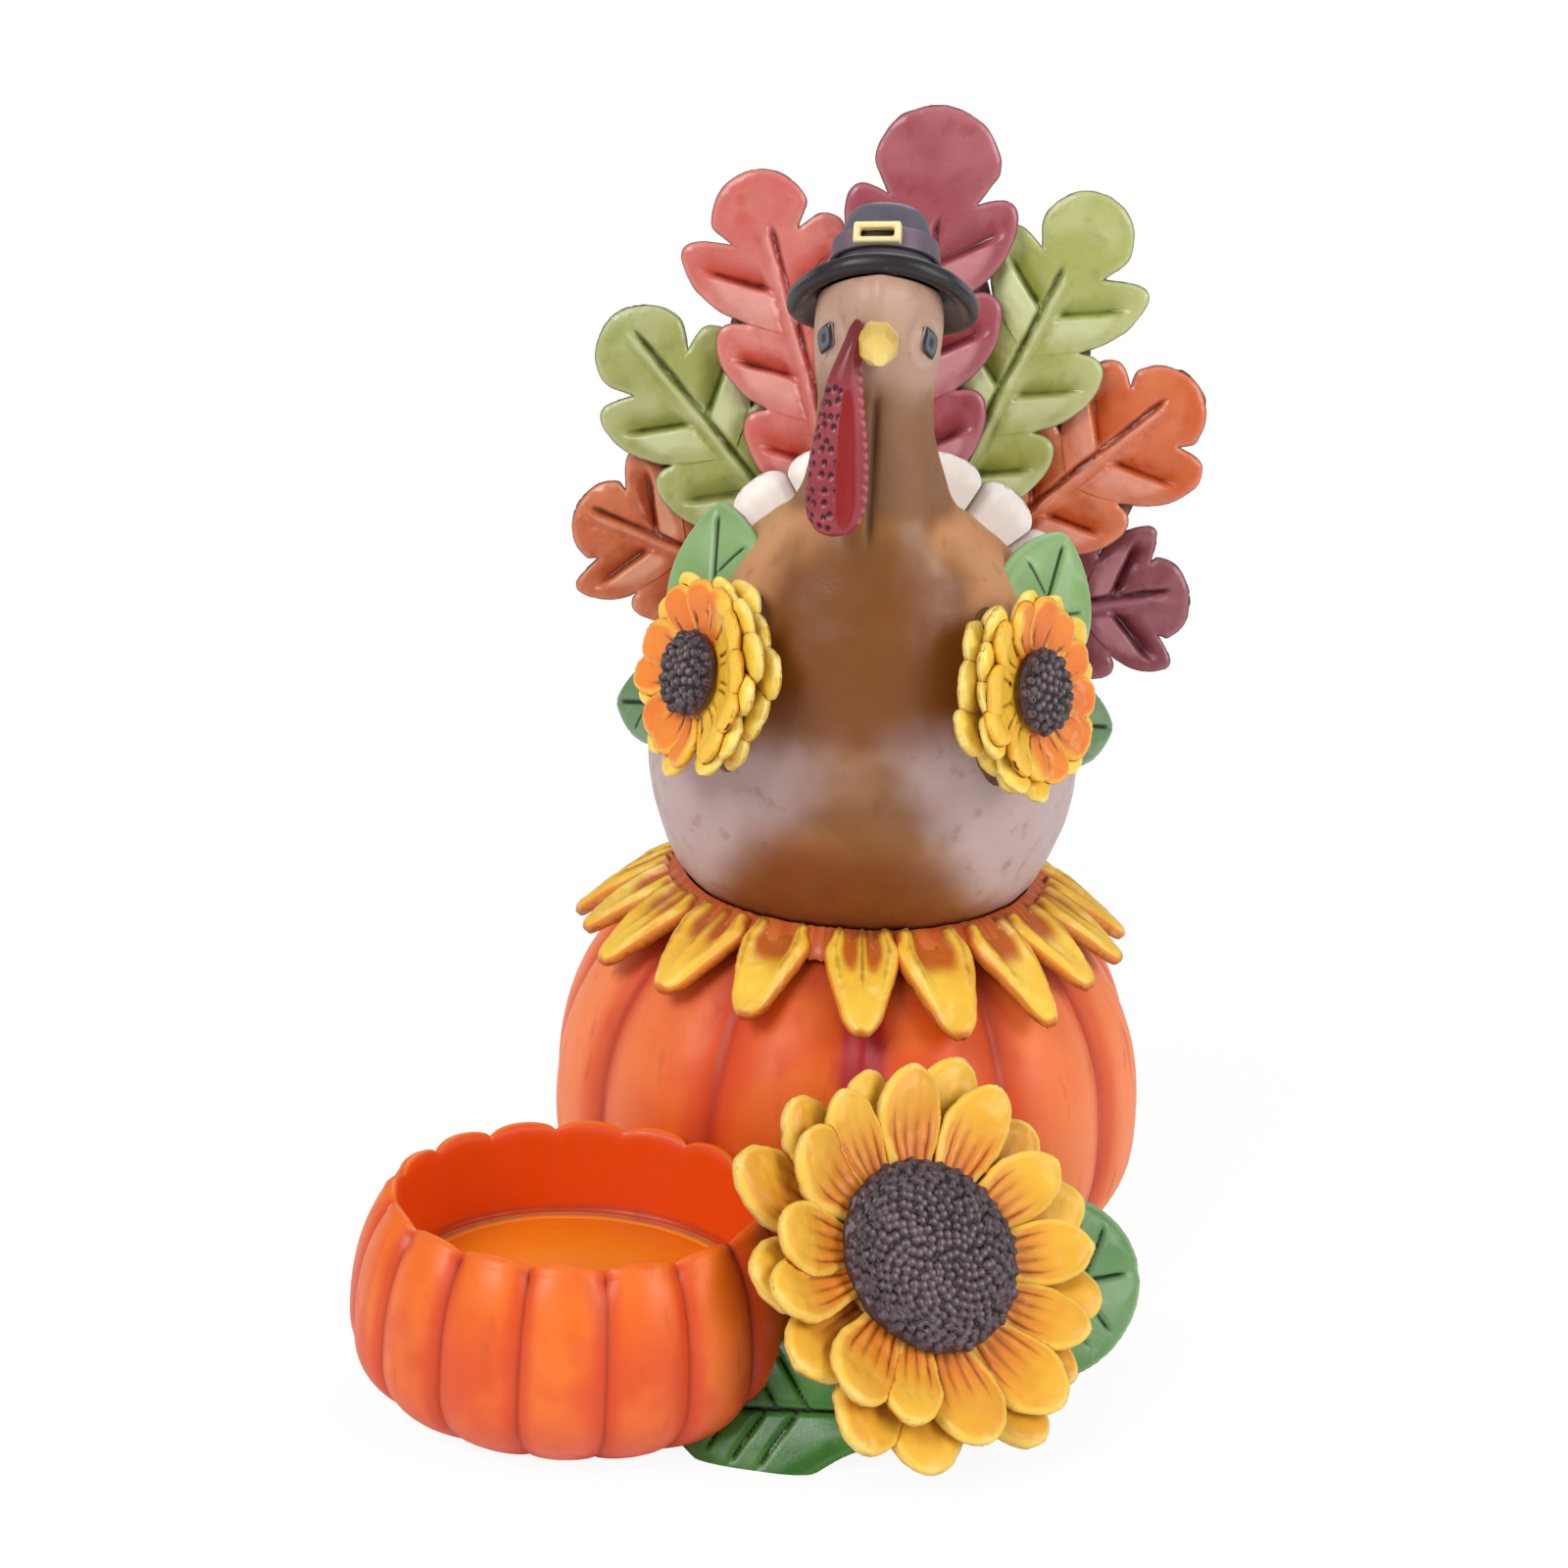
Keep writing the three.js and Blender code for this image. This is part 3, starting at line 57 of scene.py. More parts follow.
# %% Pick a piece and finish it with a modifier
def pick(piece=None):
    if bpy.context.mode != "OBJECT":
        bpy.ops.object.mode_set(mode="OBJECT")
    bpy.ops.object.select_all(action="DESELECT")
    if piece:
        piece.select_set(True)
        bpy.context.view_layer.objects.active = piece


def finish_with(piece, kind, **settings):
    pick(piece)
    modifier = piece.modifiers.new(kind.title(), kind)
    for name, value in settings.items():
        setattr(modifier, name, value)
    bpy.ops.object.modifier_apply(modifier=modifier.name)


# %% [markdown]
# Relief such as a groove, a vein or a pit could be sculpted by brush. Here a Displace modifier does it: a
# vertex group says how far each point goes, so the same groove can be measured, changed and made again.

# %% Read the points of a piece and push them
def spots(piece):
    flat = np.empty(3 * len(piece.data.vertices), np.float32)
    piece.data.vertices.foreach_get("co", flat)
    return flat.reshape(-1, 3).astype(float) / MM


def off_axis(at):
    return np.hypot(at[:, 0], at[:, 1])


def push(piece, axis, moves):
    moves = np.full(len(piece.data.vertices), moves, float)
    for way in (1, -1):
        share = np.clip(way * moves, 0, None)
        most = share.max()
        if most < 1e-5:
            continue
        group = piece.vertex_groups.new(name="push")
        for index in np.nonzero(share)[0].tolist():
            group.add([index], share[index] / most, "REPLACE")
        strength = way * most * MM
        finish_with(piece, "DISPLACE", direction=axis, strength=strength, mid_level=0, vertex_group="push")
        piece.vertex_groups.remove(piece.vertex_groups["push"])


# %% [markdown]
# A casting whose model was made by hand is never quite even. `hand_worked` gives that unevenness with a
# Clouds texture, at a size and depth chosen for the piece. What stands on the table is then pressed flat
# again.

# %% Work a piece by hand and stand it flat
def hand_worked(piece, size, depth):
    clay = bpy.data.textures.new("clay", "CLOUDS")
    clay.noise_scale = size * MM
    finish_with(piece, "DISPLACE", texture=clay, strength=depth * MM, mid_level=0.5)


def stand_flat(piece):
    push(piece, "Z", np.clip(-spots(piece)[:, 2], 0, None))


# %% [markdown]
# The painter lets a dark wash run into the grooves and drags a dry brush over the edges, and the same coats
# paint shade in the grooves and highlights on the edges. The paint has to know where those are, so each
# piece carries marks: numbers on its points that the materials read.

# %% Marks for the painter, and soft steps
def mark(piece, name, values):
    layer = piece.data.attributes.get(name) or piece.data.attributes.new(name, "FLOAT", "POINT")
    layer.data.foreach_set("value", np.full(len(piece.data.vertices), values, np.float32))


def marked(piece, name):
    values = np.empty(len(piece.data.vertices), np.float32)
    piece.data.attributes[name].data.foreach_get("value", values)
    return values.astype(float)


def ease(value, start=0.0, end=1.0):
    share = np.clip((value - start) / (end - start), 0, 1)
    return share * share * (3 - 2 * share)


def ridge(offset, width):
    return np.exp(-((offset / width) ** 2))


def between(a, b, share):
    return a + (b - a) * share


# %% [markdown]
# Castings that seat on a round form are cut by that form. A Boolean does both jobs: `carve` takes a
# neighbour, grown by the glue gap, out of a piece, and `fuse` makes one casting of several closed shells.
# `settle` brings a piece that was made flat to its place, and `facing` is such a place: a bearing from
# the front and a lean.

# %% Carve, fuse and settle
def copy_of(piece):
    pick(piece)
    bpy.ops.object.duplicate()
    return bpy.context.object


def carve(piece, tool, gap=GLUE_GAP):
    cutter = copy_of(tool)
    push(cutter, "NORMAL", gap)
    finish_with(piece, "BOOLEAN", operation="DIFFERENCE", solver="MANIFOLD", object=cutter)
    bpy.data.objects.remove(cutter)


def fuse(castings):
    whole = castings[0]
    for part in castings[1:]:
        finish_with(whole, "BOOLEAN", operation="UNION", solver="MANIFOLD", object=part)
        bpy.data.objects.remove(part)
    return whole


def settle(piece, place):
    pick(piece)
    piece.matrix_world = place
    bpy.ops.object.transform_apply(location=True, rotation=True, scale=True)


def moved_by(x, y, z):
    return Matrix.Translation(Vector((x, y, z)) * MM)


def turned_by(degrees, axis="Z"):
    return Matrix.Rotation(math.radians(degrees), 4, axis)


def facing(origin, bearing, elevation):
    turn, rise = math.radians(bearing), math.radians(elevation)
    flat = math.cos(rise)
    out = Vector((math.sin(turn) * flat, -math.cos(turn) * flat, math.sin(rise)))
    across = Vector((0, 0, 1)).cross(out).normalized()
    place = Matrix((across, out.cross(across), out)).transposed().to_4x4()
    place.translation = Vector(origin) * MM
    return place


# %% [markdown]
# Round castings, such as the pumpkin or the turkey's body, are rings stacked on each other. A circle is
# added at the first ring's place, then extruded and resized from ring to ring, as one would with E and S.
# A ring is its centre and its two half widths. `flowing` puts more rings on a smooth line between the
# ones that matter.

# %% Stack rings into a casting
def flowing(stations, count):
    known = np.array(stations, float)
    steps = np.linalg.norm(np.diff(known[:, 1:4], axis=0), axis=1)
    run = np.concatenate([[0], np.cumsum(steps)])
    slope = np.gradient(known, run, axis=0)
    fine = np.linspace(0, run[-1], count)
    k = np.clip(np.searchsorted(run, fine, side="right") - 1, 0, len(run) - 2)
    gap = (run[k + 1] - run[k])[:, None]
    t = (fine - run[k])[:, None] / gap
    first = (2 * t**3 - 3 * t**2 + 1) * known[k] + (t**3 - 2 * t**2 + t) * gap * slope[k]
    return first + (3 * t**2 - 2 * t**3) * known[k + 1] + (t**3 - t**2) * gap * slope[k + 1]


def stack(name, rings, segments, loop=False):
    pick()
    x, y, z, wide, deep = (float(v) for v in rings[0])
    bpy.ops.mesh.primitive_circle_add(vertices=segments, radius=MM, location=(x * MM, y * MM, z * MM))
    piece = bpy.context.object
    piece.name = name
    bpy.ops.object.transform_apply(location=True, rotation=False, scale=False)
    bpy.ops.object.mode_set(mode="EDIT")
    bpy.ops.mesh.select_all(action="SELECT")
    bpy.ops.transform.resize(value=(wide, deep, 1), center_override=(x * MM, y * MM, z * MM))
    for ring in rings[1:]:
        nx, ny, nz, next_wide, next_deep = (float(v) for v in ring)
        step = ((nx - x) * MM, (ny - y) * MM, (nz - z) * MM)
        bpy.ops.mesh.extrude_region_move(TRANSFORM_OT_translate={"value": step})
        growth = (next_wide / wide, next_deep / deep, 1)
        bpy.ops.transform.resize(value=growth, center_override=(nx * MM, ny * MM, nz * MM))
        x, y, z, wide, deep = nx, ny, nz, next_wide, next_deep
    if not loop:
        bpy.ops.mesh.edge_face_add()
    bpy.ops.mesh.select_all(action="DESELECT")
    bpy.ops.mesh.select_non_manifold(extend=False)
    if loop:
        bpy.ops.mesh.bridge_edge_loops()
    else:
        bpy.ops.mesh.edge_face_add()
    bpy.ops.mesh.select_all(action="SELECT")
    bpy.ops.mesh.normals_make_consistent(inside=False)
    bpy.ops.object.mode_set(mode="OBJECT")
    return piece


def round_profile(profile, count=None):
    rings = [(0, 0, z, radius, radius) for radius, z in profile]
    return flowing(rings, count) if count else rings


# %% [markdown]
# A few low forms, the eyes and the wing pads, start as a ball that is squashed in edit mode.

# %% Squash a ball
def ball(segments, ring_count, size, sink=0):
    pick()
    bpy.ops.mesh.primitive_uv_sphere_add(segments=segments, ring_count=ring_count, radius=MM)
    piece = bpy.context.object
    bpy.ops.object.mode_set(mode="EDIT")
    bpy.ops.transform.resize(value=size)
    bpy.ops.transform.translate(value=(0, 0, -sink * MM))
    bpy.ops.object.mode_set(mode="OBJECT")
    return piece


# %% [markdown]
# Leaves, petals and feathers start as a flat grid. Its rows are pulled to the outline, Solidify gives the
# sheet its thickness, and then the top is pushed up into its relief. `side` runs from -1 to 1 across the
# blade and `share` from 0 at the root to 1 at the tip. `edge` is the distance from the outline, for rims
# and soft shoulders. They stay on the points as marks, for the relief and for the paint.

# %% Measure a sheet against its outline
def nearest(at, dots):
    tree = KDTree(len(dots))
    for i, dot in enumerate(dots):
        tree.insert(dot, i)
    tree.balance()
    return np.array([tree.find(spot)[2] for spot in at])


def outline_dots(at, side, share):
    dots = []
    for on_line, order in ((side < -0.999, share), (side > 0.999, share), (share > 0.999, side)):
        line = at[on_line][np.argsort(order[on_line])]
        run = np.concatenate([[0], np.cumsum(np.linalg.norm(np.diff(line, axis=0), axis=1))])
        fine = np.linspace(0, run[-1], int(run[-1] / 0.15) + 2)
        dots += list(zip(*(np.interp(fine, run, values) for values in line.T)))
    return dots


def pillow(edge, width):
    return np.sqrt(np.clip(1 - (1 - np.clip(edge / width, 0, 1)) ** 2, 0, 1))


def petal_half(share, half, root_share, widest, point):
    swell = half * between(root_share, 1, ease(share, 0, widest))
    close = np.clip((share - widest) / (1 - widest), 0, 1)
    return np.where(share < widest, swell, half * (1 - 0.985 * close**2) ** point)


def straight(share):
    return 0 * share


# %% Cut a blade from a sheet
def blade(start, end, rows, columns, half, slant, thickness, relief):
    pick()
    bpy.ops.mesh.primitive_grid_add(x_subdivisions=columns, y_subdivisions=rows, size=2 * MM)
    piece = bpy.context.object
    at = spots(piece)
    side = between(at[:, 0], np.sin(at[:, 0] * np.pi / 2), 0.6)
    share = (at[:, 1] + 1) / 2
    wide = half(share, side)
    push(piece, "X", wide * side - at[:, 0])
    push(piece, "Y", between(start, end, share) + wide * slant(share) * np.abs(side) - at[:, 1])
    at = spots(piece)
    mark(piece, "side", side)
    mark(piece, "share", share)
    mark(piece, "edge", nearest(at, outline_dots(at, side, share)))
    finish_with(piece, "SOLIDIFY", thickness=thickness * MM, offset=-1)
    front = spots(piece)[:, 2] > -thickness / 2
    side, share, edge = (marked(piece, name) for name in ("side", "share", "edge"))
    rise, wash, rim = relief(share, side, edge)
    round_under = 0.6 * thickness * (1 - pillow(edge, 1.2 * thickness))
    push(piece, "Z", np.where(front, rise, round_under))
    mark(piece, "wash", np.where(front, wash, 0.25 * wash))
    mark(piece, "rim", np.where(front, rim, 0))
    # Paints darken what is not front and what is near the wall, as painted shade on undersides and cut edges.
    mark(piece, "front", front)
    mark(piece, "wall", 1 - ease(edge, 0, 0.4))
    return piece


def plain_blade(start, end, rows, columns, half, slant, thickness):
    def level(share, side, edge):
        return 0 * share, 0 * share, 0 * share

    return blade(start, end, rows, columns, half, slant, thickness, level)


# %% [markdown]
# ## Paint
# Every casting has the same build of paint: a ground colour that is not quite even, then thin coats that
# gather where a mark is high, with a ragged, brushed edge. A coat is the mark it follows, its colour, the
# two values of the mark between which it comes in, and how much it covers. Paint over resin is satin, so
# roughness wavers a little, a fine grain breaks the highlights, and a thin clear coat lies on top.

# %% Nodes of a paint pot
def tint(code):
    parts = [int(code[i:i + 2], 16) / 255 for i in (0, 2, 4)]
    return [v / 12.92 if v <= 0.04045 else ((v + 0.055) / 1.055) ** 2.4 for v in parts] + [1]


def set_range(step, low, high, start, end):
    for name, number in zip(("From Min", "From Max", "To Min", "To Max"), (low, high, start, end)):
        step.inputs[name].default_value = number


class PaintPot:
    def __init__(self, name, seed=0.0):
        self.paint = bpy.data.materials.new(name)
        self.paint.use_nodes = True
        self.nodes, self.links = self.paint.node_tree.nodes, self.paint.node_tree.links
        self.shader = self.nodes["Principled BSDF"]
        self.place = self.nodes.new("ShaderNodeTexCoord").outputs["Object"]
        self.seed = seed

    def cloud(self, scale, detail=3, stretch=None):
        noise = self.nodes.new("ShaderNodeTexNoise")
        noise.inputs["Scale"].default_value = scale
        noise.inputs["Detail"].default_value = detail
        shift = self.nodes.new("ShaderNodeMapping")
        shift.inputs["Location"].default_value = (self.seed, 0.3 * self.seed, 0)
        shift.inputs["Scale"].default_value = stretch or (1, 1, 1)
        self.links.new(self.place, shift.inputs["Vector"])
        self.links.new(shift.outputs["Vector"], noise.inputs["Vector"])
        return noise.outputs["Fac"]

    def stepped(self, value, low, high, start, end):
        step = self.nodes.new("ShaderNodeMapRange")
        step.interpolation_type = "SMOOTHSTEP"
        set_range(step, low, high, start, end)
        self.links.new(value, step.inputs["Value"])
        return step.outputs["Result"]

    def ragged(self, name, brush, amount):
        layer = self.nodes.new("ShaderNodeAttribute")
        layer.attribute_name = name
        rough = self.nodes.new("ShaderNodeMath")
        rough.operation = "MULTIPLY_ADD"
        rough.inputs[1].default_value = amount
        self.links.new(brush, rough.inputs[0])
        self.links.new(layer.outputs["Fac"], rough.inputs[2])
        return rough.outputs["Value"]

    def over(self, below, colour, cover):
        mix = self.nodes.new("ShaderNodeMix")
        mix.data_type = "RGBA"
        mix.inputs["B"].default_value = tint(colour)
        self.links.new(cover, mix.inputs["Factor"])
        if isinstance(below, str):
            mix.inputs["A"].default_value = tint(below)
        else:
            self.links.new(below, mix.inputs["A"])
        return mix.outputs["Result"]


# %% [markdown]
# One function mixes them all. Two coats that most pieces have are passed by name: a dark wash with painted
# shade in the creases, and a pale dry brush with painted highlight on the crests. `loose` says how far the
# edge of a coat wanders: an airbrush leaves a loose, cloudy edge and a brush a tight one.

# %% Mix a resin paint
def resin_paint(
    name, ground, patches, coats=(), wash=None, dry_brush_highlight=None,
    roughness=0.42, clear=0.15, seed=0.0, stretch=None, loose=0.35,
):
    pot = PaintPot(name, seed)
    broad, brush, fine = pot.cloud(110, 2), pot.cloud(380, 4, stretch), pot.cloud(2400, 2)
    colour = pot.over(ground, patches, pot.stepped(broad, 0.38, 0.68, 0, 1))
    coats = list(coats)
    # Pale dry brush and painted highlight on the crests, dark wash and painted shade in the creases.
    if dry_brush_highlight:
        coats.append(("crest", dry_brush_highlight, 0.12, 0.5, 0.6))
    if wash:
        coats.append(("crease", wash, 0.14, 0.5, 0.85))
    for place, code, low, high, cover in coats:
        if place == "brush":
            reach = pot.stepped(brush, low, high, 0, cover)
        else:
            spread = loose * abs(high - low)
            value = pot.ragged(place, brush if loose < 0.5 else broad, spread)
            reach = pot.stepped(value, low + spread / 2, high + spread / 2, 0, cover)
        colour = pot.over(colour, code, reach)
    pot.links.new(colour, pot.shader.inputs["Base Color"])
    rough = pot.stepped(brush, 0.3, 0.7, roughness - 0.07, roughness + 0.09)
    pot.links.new(rough, pot.shader.inputs["Roughness"])
    grain = pot.nodes.new("ShaderNodeBump")
    grain.inputs["Strength"].default_value = 0.5
    grain.inputs["Distance"].default_value = 0.05 * MM
    pot.links.new(fine, grain.inputs["Height"])
    pot.links.new(grain.outputs["Normal"], pot.shader.inputs["Normal"])
    pot.shader.inputs["Specular IOR Level"].default_value = 0.35
    pot.shader.inputs["Coat Weight"].default_value = clear
    pot.shader.inputs["Coat Roughness"].default_value = 0.28
    return pot.paint


# %% [markdown]
# A finished piece is felt for creases and crests: where the neighbours of a point stand above its tangent
# plane it lies in a crease, and the wash and a painted shade gather there. Where they fall away it is a
# crest, which the dry brush touches with a painted highlight. Then the piece is named, painted, smoothed
# and handed over: it rides on the one body and stands for its solid.

# %% Feel for creases and hand a piece over
def feel_creases(piece):
    mesh = piece.data
    total = len(mesh.vertices)
    ends, normals = np.empty(2 * len(mesh.edges), np.int32), np.empty(3 * total, np.float32)
    mesh.edges.foreach_get("vertices", ends)
    mesh.vertices.foreach_get("normal", normals)
    normals = normals.reshape(-1, 3)
    first, second = ends.reshape(-1, 2).T
    at = spots(piece)
    step = at[second] - at[first]
    long = np.linalg.norm(step, axis=1)
    step /= np.maximum(long, 1e-6)[:, None]
    heed = np.clip(long / 0.2, 0.02, 1)

    def gathered(for_first, for_second):
        return np.bincount(first, heed * for_first, total) + np.bincount(second, heed * for_second, total)

    near = np.maximum(gathered(1, 1), 1e-6)
    hollow = gathered((step * normals[first]).sum(1), -(step * normals[second]).sum(1)) / near
    for _ in range(4):
        hollow = (hollow + gathered(hollow[second], hollow[first]) / near) / 2
    # The crease mark carries the dark wash and painted shade, the crest mark the dry brush and painted
    # highlight.
    mark(piece, "crease", np.clip(3 * hollow, 0, 1))
    mark(piece, "crest", np.clip(-3 * hollow, 0, 1))


def hand_over(piece, node, paint, crease=48):
    piece.name = "painted_" + node
    piece.data.name = piece.name
    piece.data.materials.clear()
    piece.data.materials.append(paint)
    feel_creases(piece)
    pick(piece)
    bpy.ops.object.shade_smooth_by_angle(angle=math.radians(crease))
    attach(piece, "root")
    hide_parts(node)
    print(piece.name, len(piece.data.polygons), "faces")
    return piece


# %% [markdown]
# ## The big pumpkin
# The pumpkin carries the whole figure. Twelve ribs swell between narrow grooves. One could model a rib
# and spin it, but a smooth gourd with its grooves pressed in keeps the ribs rounded where they meet the
# flat foot.

# %% Shape a gourd and its grooves
def swelling(radius, edge, share):
    full = 2.3
    end = (1 - (edge / radius) ** full) ** (1 / full)
    return radius * (1 - (share * end) ** full) ** (1 / full)


def gourd(radius, foot, edge, waist, height, steps):
    climb = np.sin(np.linspace(0, 1, steps) * np.pi / 2)
    lower = [(swelling(radius, foot, s), waist * (1 - s)) for s in climb[::-1]]
    upper = [(swelling(radius, edge, s), waist + (height - waist) * s) for s in climb[1:]]
    return lower + upper


def bearing_of(at):
    return np.degrees(np.arctan2(at[:, 0], -at[:, 1]))


def rib_hollow(bearing, ribs, first, narrow=0.55):
    return 1 - np.abs(np.sin(np.pi * (bearing - first) * ribs / 360)) ** narrow


def press_grooves(piece, centre, depth):
    at = spots(piece) - np.array(centre)
    inward = depth * marked(piece, "groove") / np.maximum(off_axis(at), 1)
    push(piece, "X", -at[:, 0] * inward)
    push(piece, "Y", -at[:, 1] * inward)


# %% Turn the pumpkin and press its grooves
PUMPKIN_RADIUS, PUMPKIN_FOOT, PUMPKIN_WAIST, PUMPKIN_HEIGHT = 39, 27, 21, 49
SEAT_RADIUS = 23
PEG_RADIUS, PEG_LENGTH = 6, 6
RIBS, FRONT_GROOVE, GROOVE_DEPTH = 12, 3.5, 2.6
wall = gourd(PUMPKIN_RADIUS, PUMPKIN_FOOT, SEAT_RADIUS, PUMPKIN_WAIST, PUMPKIN_HEIGHT, 22)
socket_radius, socket_floor = PEG_RADIUS + GLUE_GAP, PUMPKIN_HEIGHT - PEG_LENGTH - GLUE_GAP
socket = [(socket_radius, PUMPKIN_HEIGHT), (socket_radius, socket_floor)]
pumpkin = stack("pumpkin", round_profile(wall + socket), 240)
around = spots(pumpkin)
outer_wall = ease(off_axis(around), 12, 22)
mark(pumpkin, "groove", rib_hollow(bearing_of(around), RIBS, FRONT_GROOVE) * outer_wall)
press_grooves(pumpkin, (0, 0, 0), GROOVE_DEPTH)
hand_worked(pumpkin, 14, 0.5)
stand_flat(pumpkin)
around = spots(pumpkin)
in_groove = ease(marked(pumpkin, "groove"), 0.1, 0.5)
mark(pumpkin, "height", around[:, 2] / PUMPKIN_HEIGHT)
# The sides of the figure are marked for a lighter coral, a painted sheen.
mark(pumpkin, "flank_sheen", np.abs(np.sin(np.radians(bearing_of(around)))))
mark(pumpkin, "front_groove", ridge(bearing_of(around) - FRONT_GROOVE, 7) * in_groove)
print("pumpkin, mm across:", np.ptp(around, axis=0).round(1))

# %% [markdown]
# The pumpkin's paint is an orange ground with a lighter coral on the sides of the figure, a painted sheen,
# a red airbrush in the grooves that deepens to magenta in the front one and darkens as painted shade where
# the grooves are deepest, a painted shade under the collar, and thin dry scratches from the brush, which
# run up and down.

# %% Paint the pumpkin
pumpkin_paint = resin_paint(
    "pumpkin_paint", "da530a", "e26416", wash="7a1c10", roughness=0.5, clear=0.05, stretch=(1, 1, 0.2),
    coats=[
        # Painted sheen: lighter coral on the sides.
        ("flank_sheen", "f68c56", 0.4, 0.95, 0.85),
        ("groove", "d4481c", 0.1, 0.5, 0.75),
        # The deepest part of the grooves darkens as painted shade.
        ("groove", "a02614", 0.45, 0.95, 0.8),
        ("front_groove", "a81428", 0.15, 0.75, 0.9),
        # Painted shade: darker brown-orange under the collar.
        ("height", "9c3416", 0.82, 0.97, 0.6),
        ("brush", "b03e12", 0.58, 0.78, 0.5),
    ],
)
hand_over(pumpkin, "pumpkin_base", pumpkin_paint)

# %% [markdown]
# ## The tea-light cup
# The cup is a small open pumpkin. Its rings go up the outside, over the rim and down the well to the
# floor, so one stack makes the whole thick wall. The rim dips where each groove comes up, which gives it
# its scallops.

# %% Turn the cup, its scalloped rim and its well
CUP_AXIS = (-31.02, -54.38, 0)
CUP_RADIUS, CUP_FOOT, CUP_WAIST, CUP_HEIGHT = 27.2, 18, 10.5, 26.6
RIM_RADIUS, WELL_RADIUS, CUP_FLOOR = 23.6, 21.2, 14.8
CUP_RIBS, CUP_FIRST_GROOVE = 16, 12.4
outside = gourd(CUP_RADIUS, CUP_FOOT, RIM_RADIUS, CUP_WAIST, CUP_HEIGHT - 1.2, 16)
rim_round = [(23.35, 26.0), (22.9, 26.4), (22.4, CUP_HEIGHT), (21.95, 26.45), (21.6, 26.0), (21.42, 25.3)]
well = [(between(21.4, WELL_RADIUS, s), 25.3 - 9.9 * s) for s in np.linspace(0.1, 1, 10)]
well_foot = [(20.9, 15.0), (20.4, CUP_FLOOR)]
floor_rings = [(19.6, CUP_FLOOR), (19.3, CUP_FLOOR - 0.15), (19.0, CUP_FLOOR), (10, CUP_FLOOR)]
cup = stack("cup", round_profile(outside + rim_round + well + well_foot + floor_rings), 256)
settle(cup, moved_by(*CUP_AXIS))
from_axis = spots(cup) - np.array(CUP_AXIS)
reach, up = off_axis(from_axis), from_axis[:, 2]
inside = np.where(up > CUP_FLOOR - 0.5, ease(-reach, -22.2, -21.6), 0)
hollow = rib_hollow(bearing_of(from_axis), CUP_RIBS, CUP_FIRST_GROOVE, 0.42)
mark(cup, "groove", hollow * (1 - inside) * between(1, 0.35, ease(reach, RIM_RADIUS, 22.2) * (up > 25)))
press_grooves(cup, CUP_AXIS, 1.5)
push(cup, "Z", -1.3 * hollow * ease(up, 22.5, 26.2))
on_floor = (up > 10) & (up < 16)
mark(cup, "inside", inside)
mark(cup, "cup_floor", (reach < 20.5) & on_floor)
mark(cup, "floor_ring", ridge(reach - 20.1, 0.55) * on_floor)
mark(cup, "height", up / CUP_HEIGHT)
hand_worked(cup, 9, 0.22)
stand_flat(cup)
carve(cup, pumpkin)
print("cup, mm across:", np.ptp(spots(cup), axis=0).round(1))

# %% [markdown]
# Outside, the cup goes from a bright orange rim, partly a painted highlight on its upper half, to coral
# below, with dark red in the grooves that is partly painted shade. Inside it is deep red-orange, and the
# floor is a brighter orange with a thin grey line at its edge.

# %% Paint the cup
cup_paint = resin_paint(
    "cup_paint", "d8501a", "ea7024", wash="7c2408", roughness=0.42, clear=0.12, stretch=(1, 1, 0.2), seed=3,
    coats=[
        # The brighter orange of the upper half is partly a painted highlight.
        ("height", "ea6c10", 0.45, 1.0, 0.85),
        ("height", "de5a36", 0.5, 0.1, 0.75),
        ("groove", "d2441a", 0.1, 0.45, 0.8),
        # The deepest part of the grooves darkens as painted shade.
        ("groove", "922c10", 0.45, 0.95, 0.8),
        ("brush", "c84c18", 0.55, 0.75, 0.5),
        ("inside", "e04a06", 0.2, 0.8, 0.95),
        ("cup_floor", "fa8c12", 0.3, 0.7, 1.0),
        ("floor_ring", "86705f", 0.3, 0.8, 0.9),
    ],
)
hand_over(cup, "candle_cup", cup_paint)

# %% [markdown]
# ## The petal collar
# A hatched ring lies on the pumpkin's shoulder, and pointed petals drape from it. A petal is cut from a
# flat sheet and then laid on the shoulder: each point keeps its height above the sheet and takes the
# shoulder's place and slope at its distance from the seat. On the real collar each petal has a prong
# along both edges, some have a third in the middle, and the hollow between them holds brown wash and
# painted shade.

# %% Follow the pumpkin's shoulder
climb = np.linspace(1, 0.02, 80)
shoulder_radii = [swelling(PUMPKIN_RADIUS, SEAT_RADIUS, s) for s in climb]
shoulder = np.c_[shoulder_radii, between(PUMPKIN_WAIST, PUMPKIN_HEIGHT, climb)]
shoulder_run = np.concatenate([[0], np.cumsum(np.linalg.norm(np.diff(shoulder, axis=0), axis=1))])
shoulder_slope = np.gradient(shoulder, shoulder_run, axis=0)


def on_shoulder(run, lift):
    track = [np.interp(run, shoulder_run, values) for values in (*shoulder.T, *shoulder_slope.T)]
    return track[0] - track[3] * lift, track[1] + track[2] * lift


print("shoulder, mm from seat to waist:", round(shoulder_run[-1], 1))


# %% Lay one petal on the shoulder
PETAL_THICKNESS, PETAL_FLARE = 0.9, 2.2


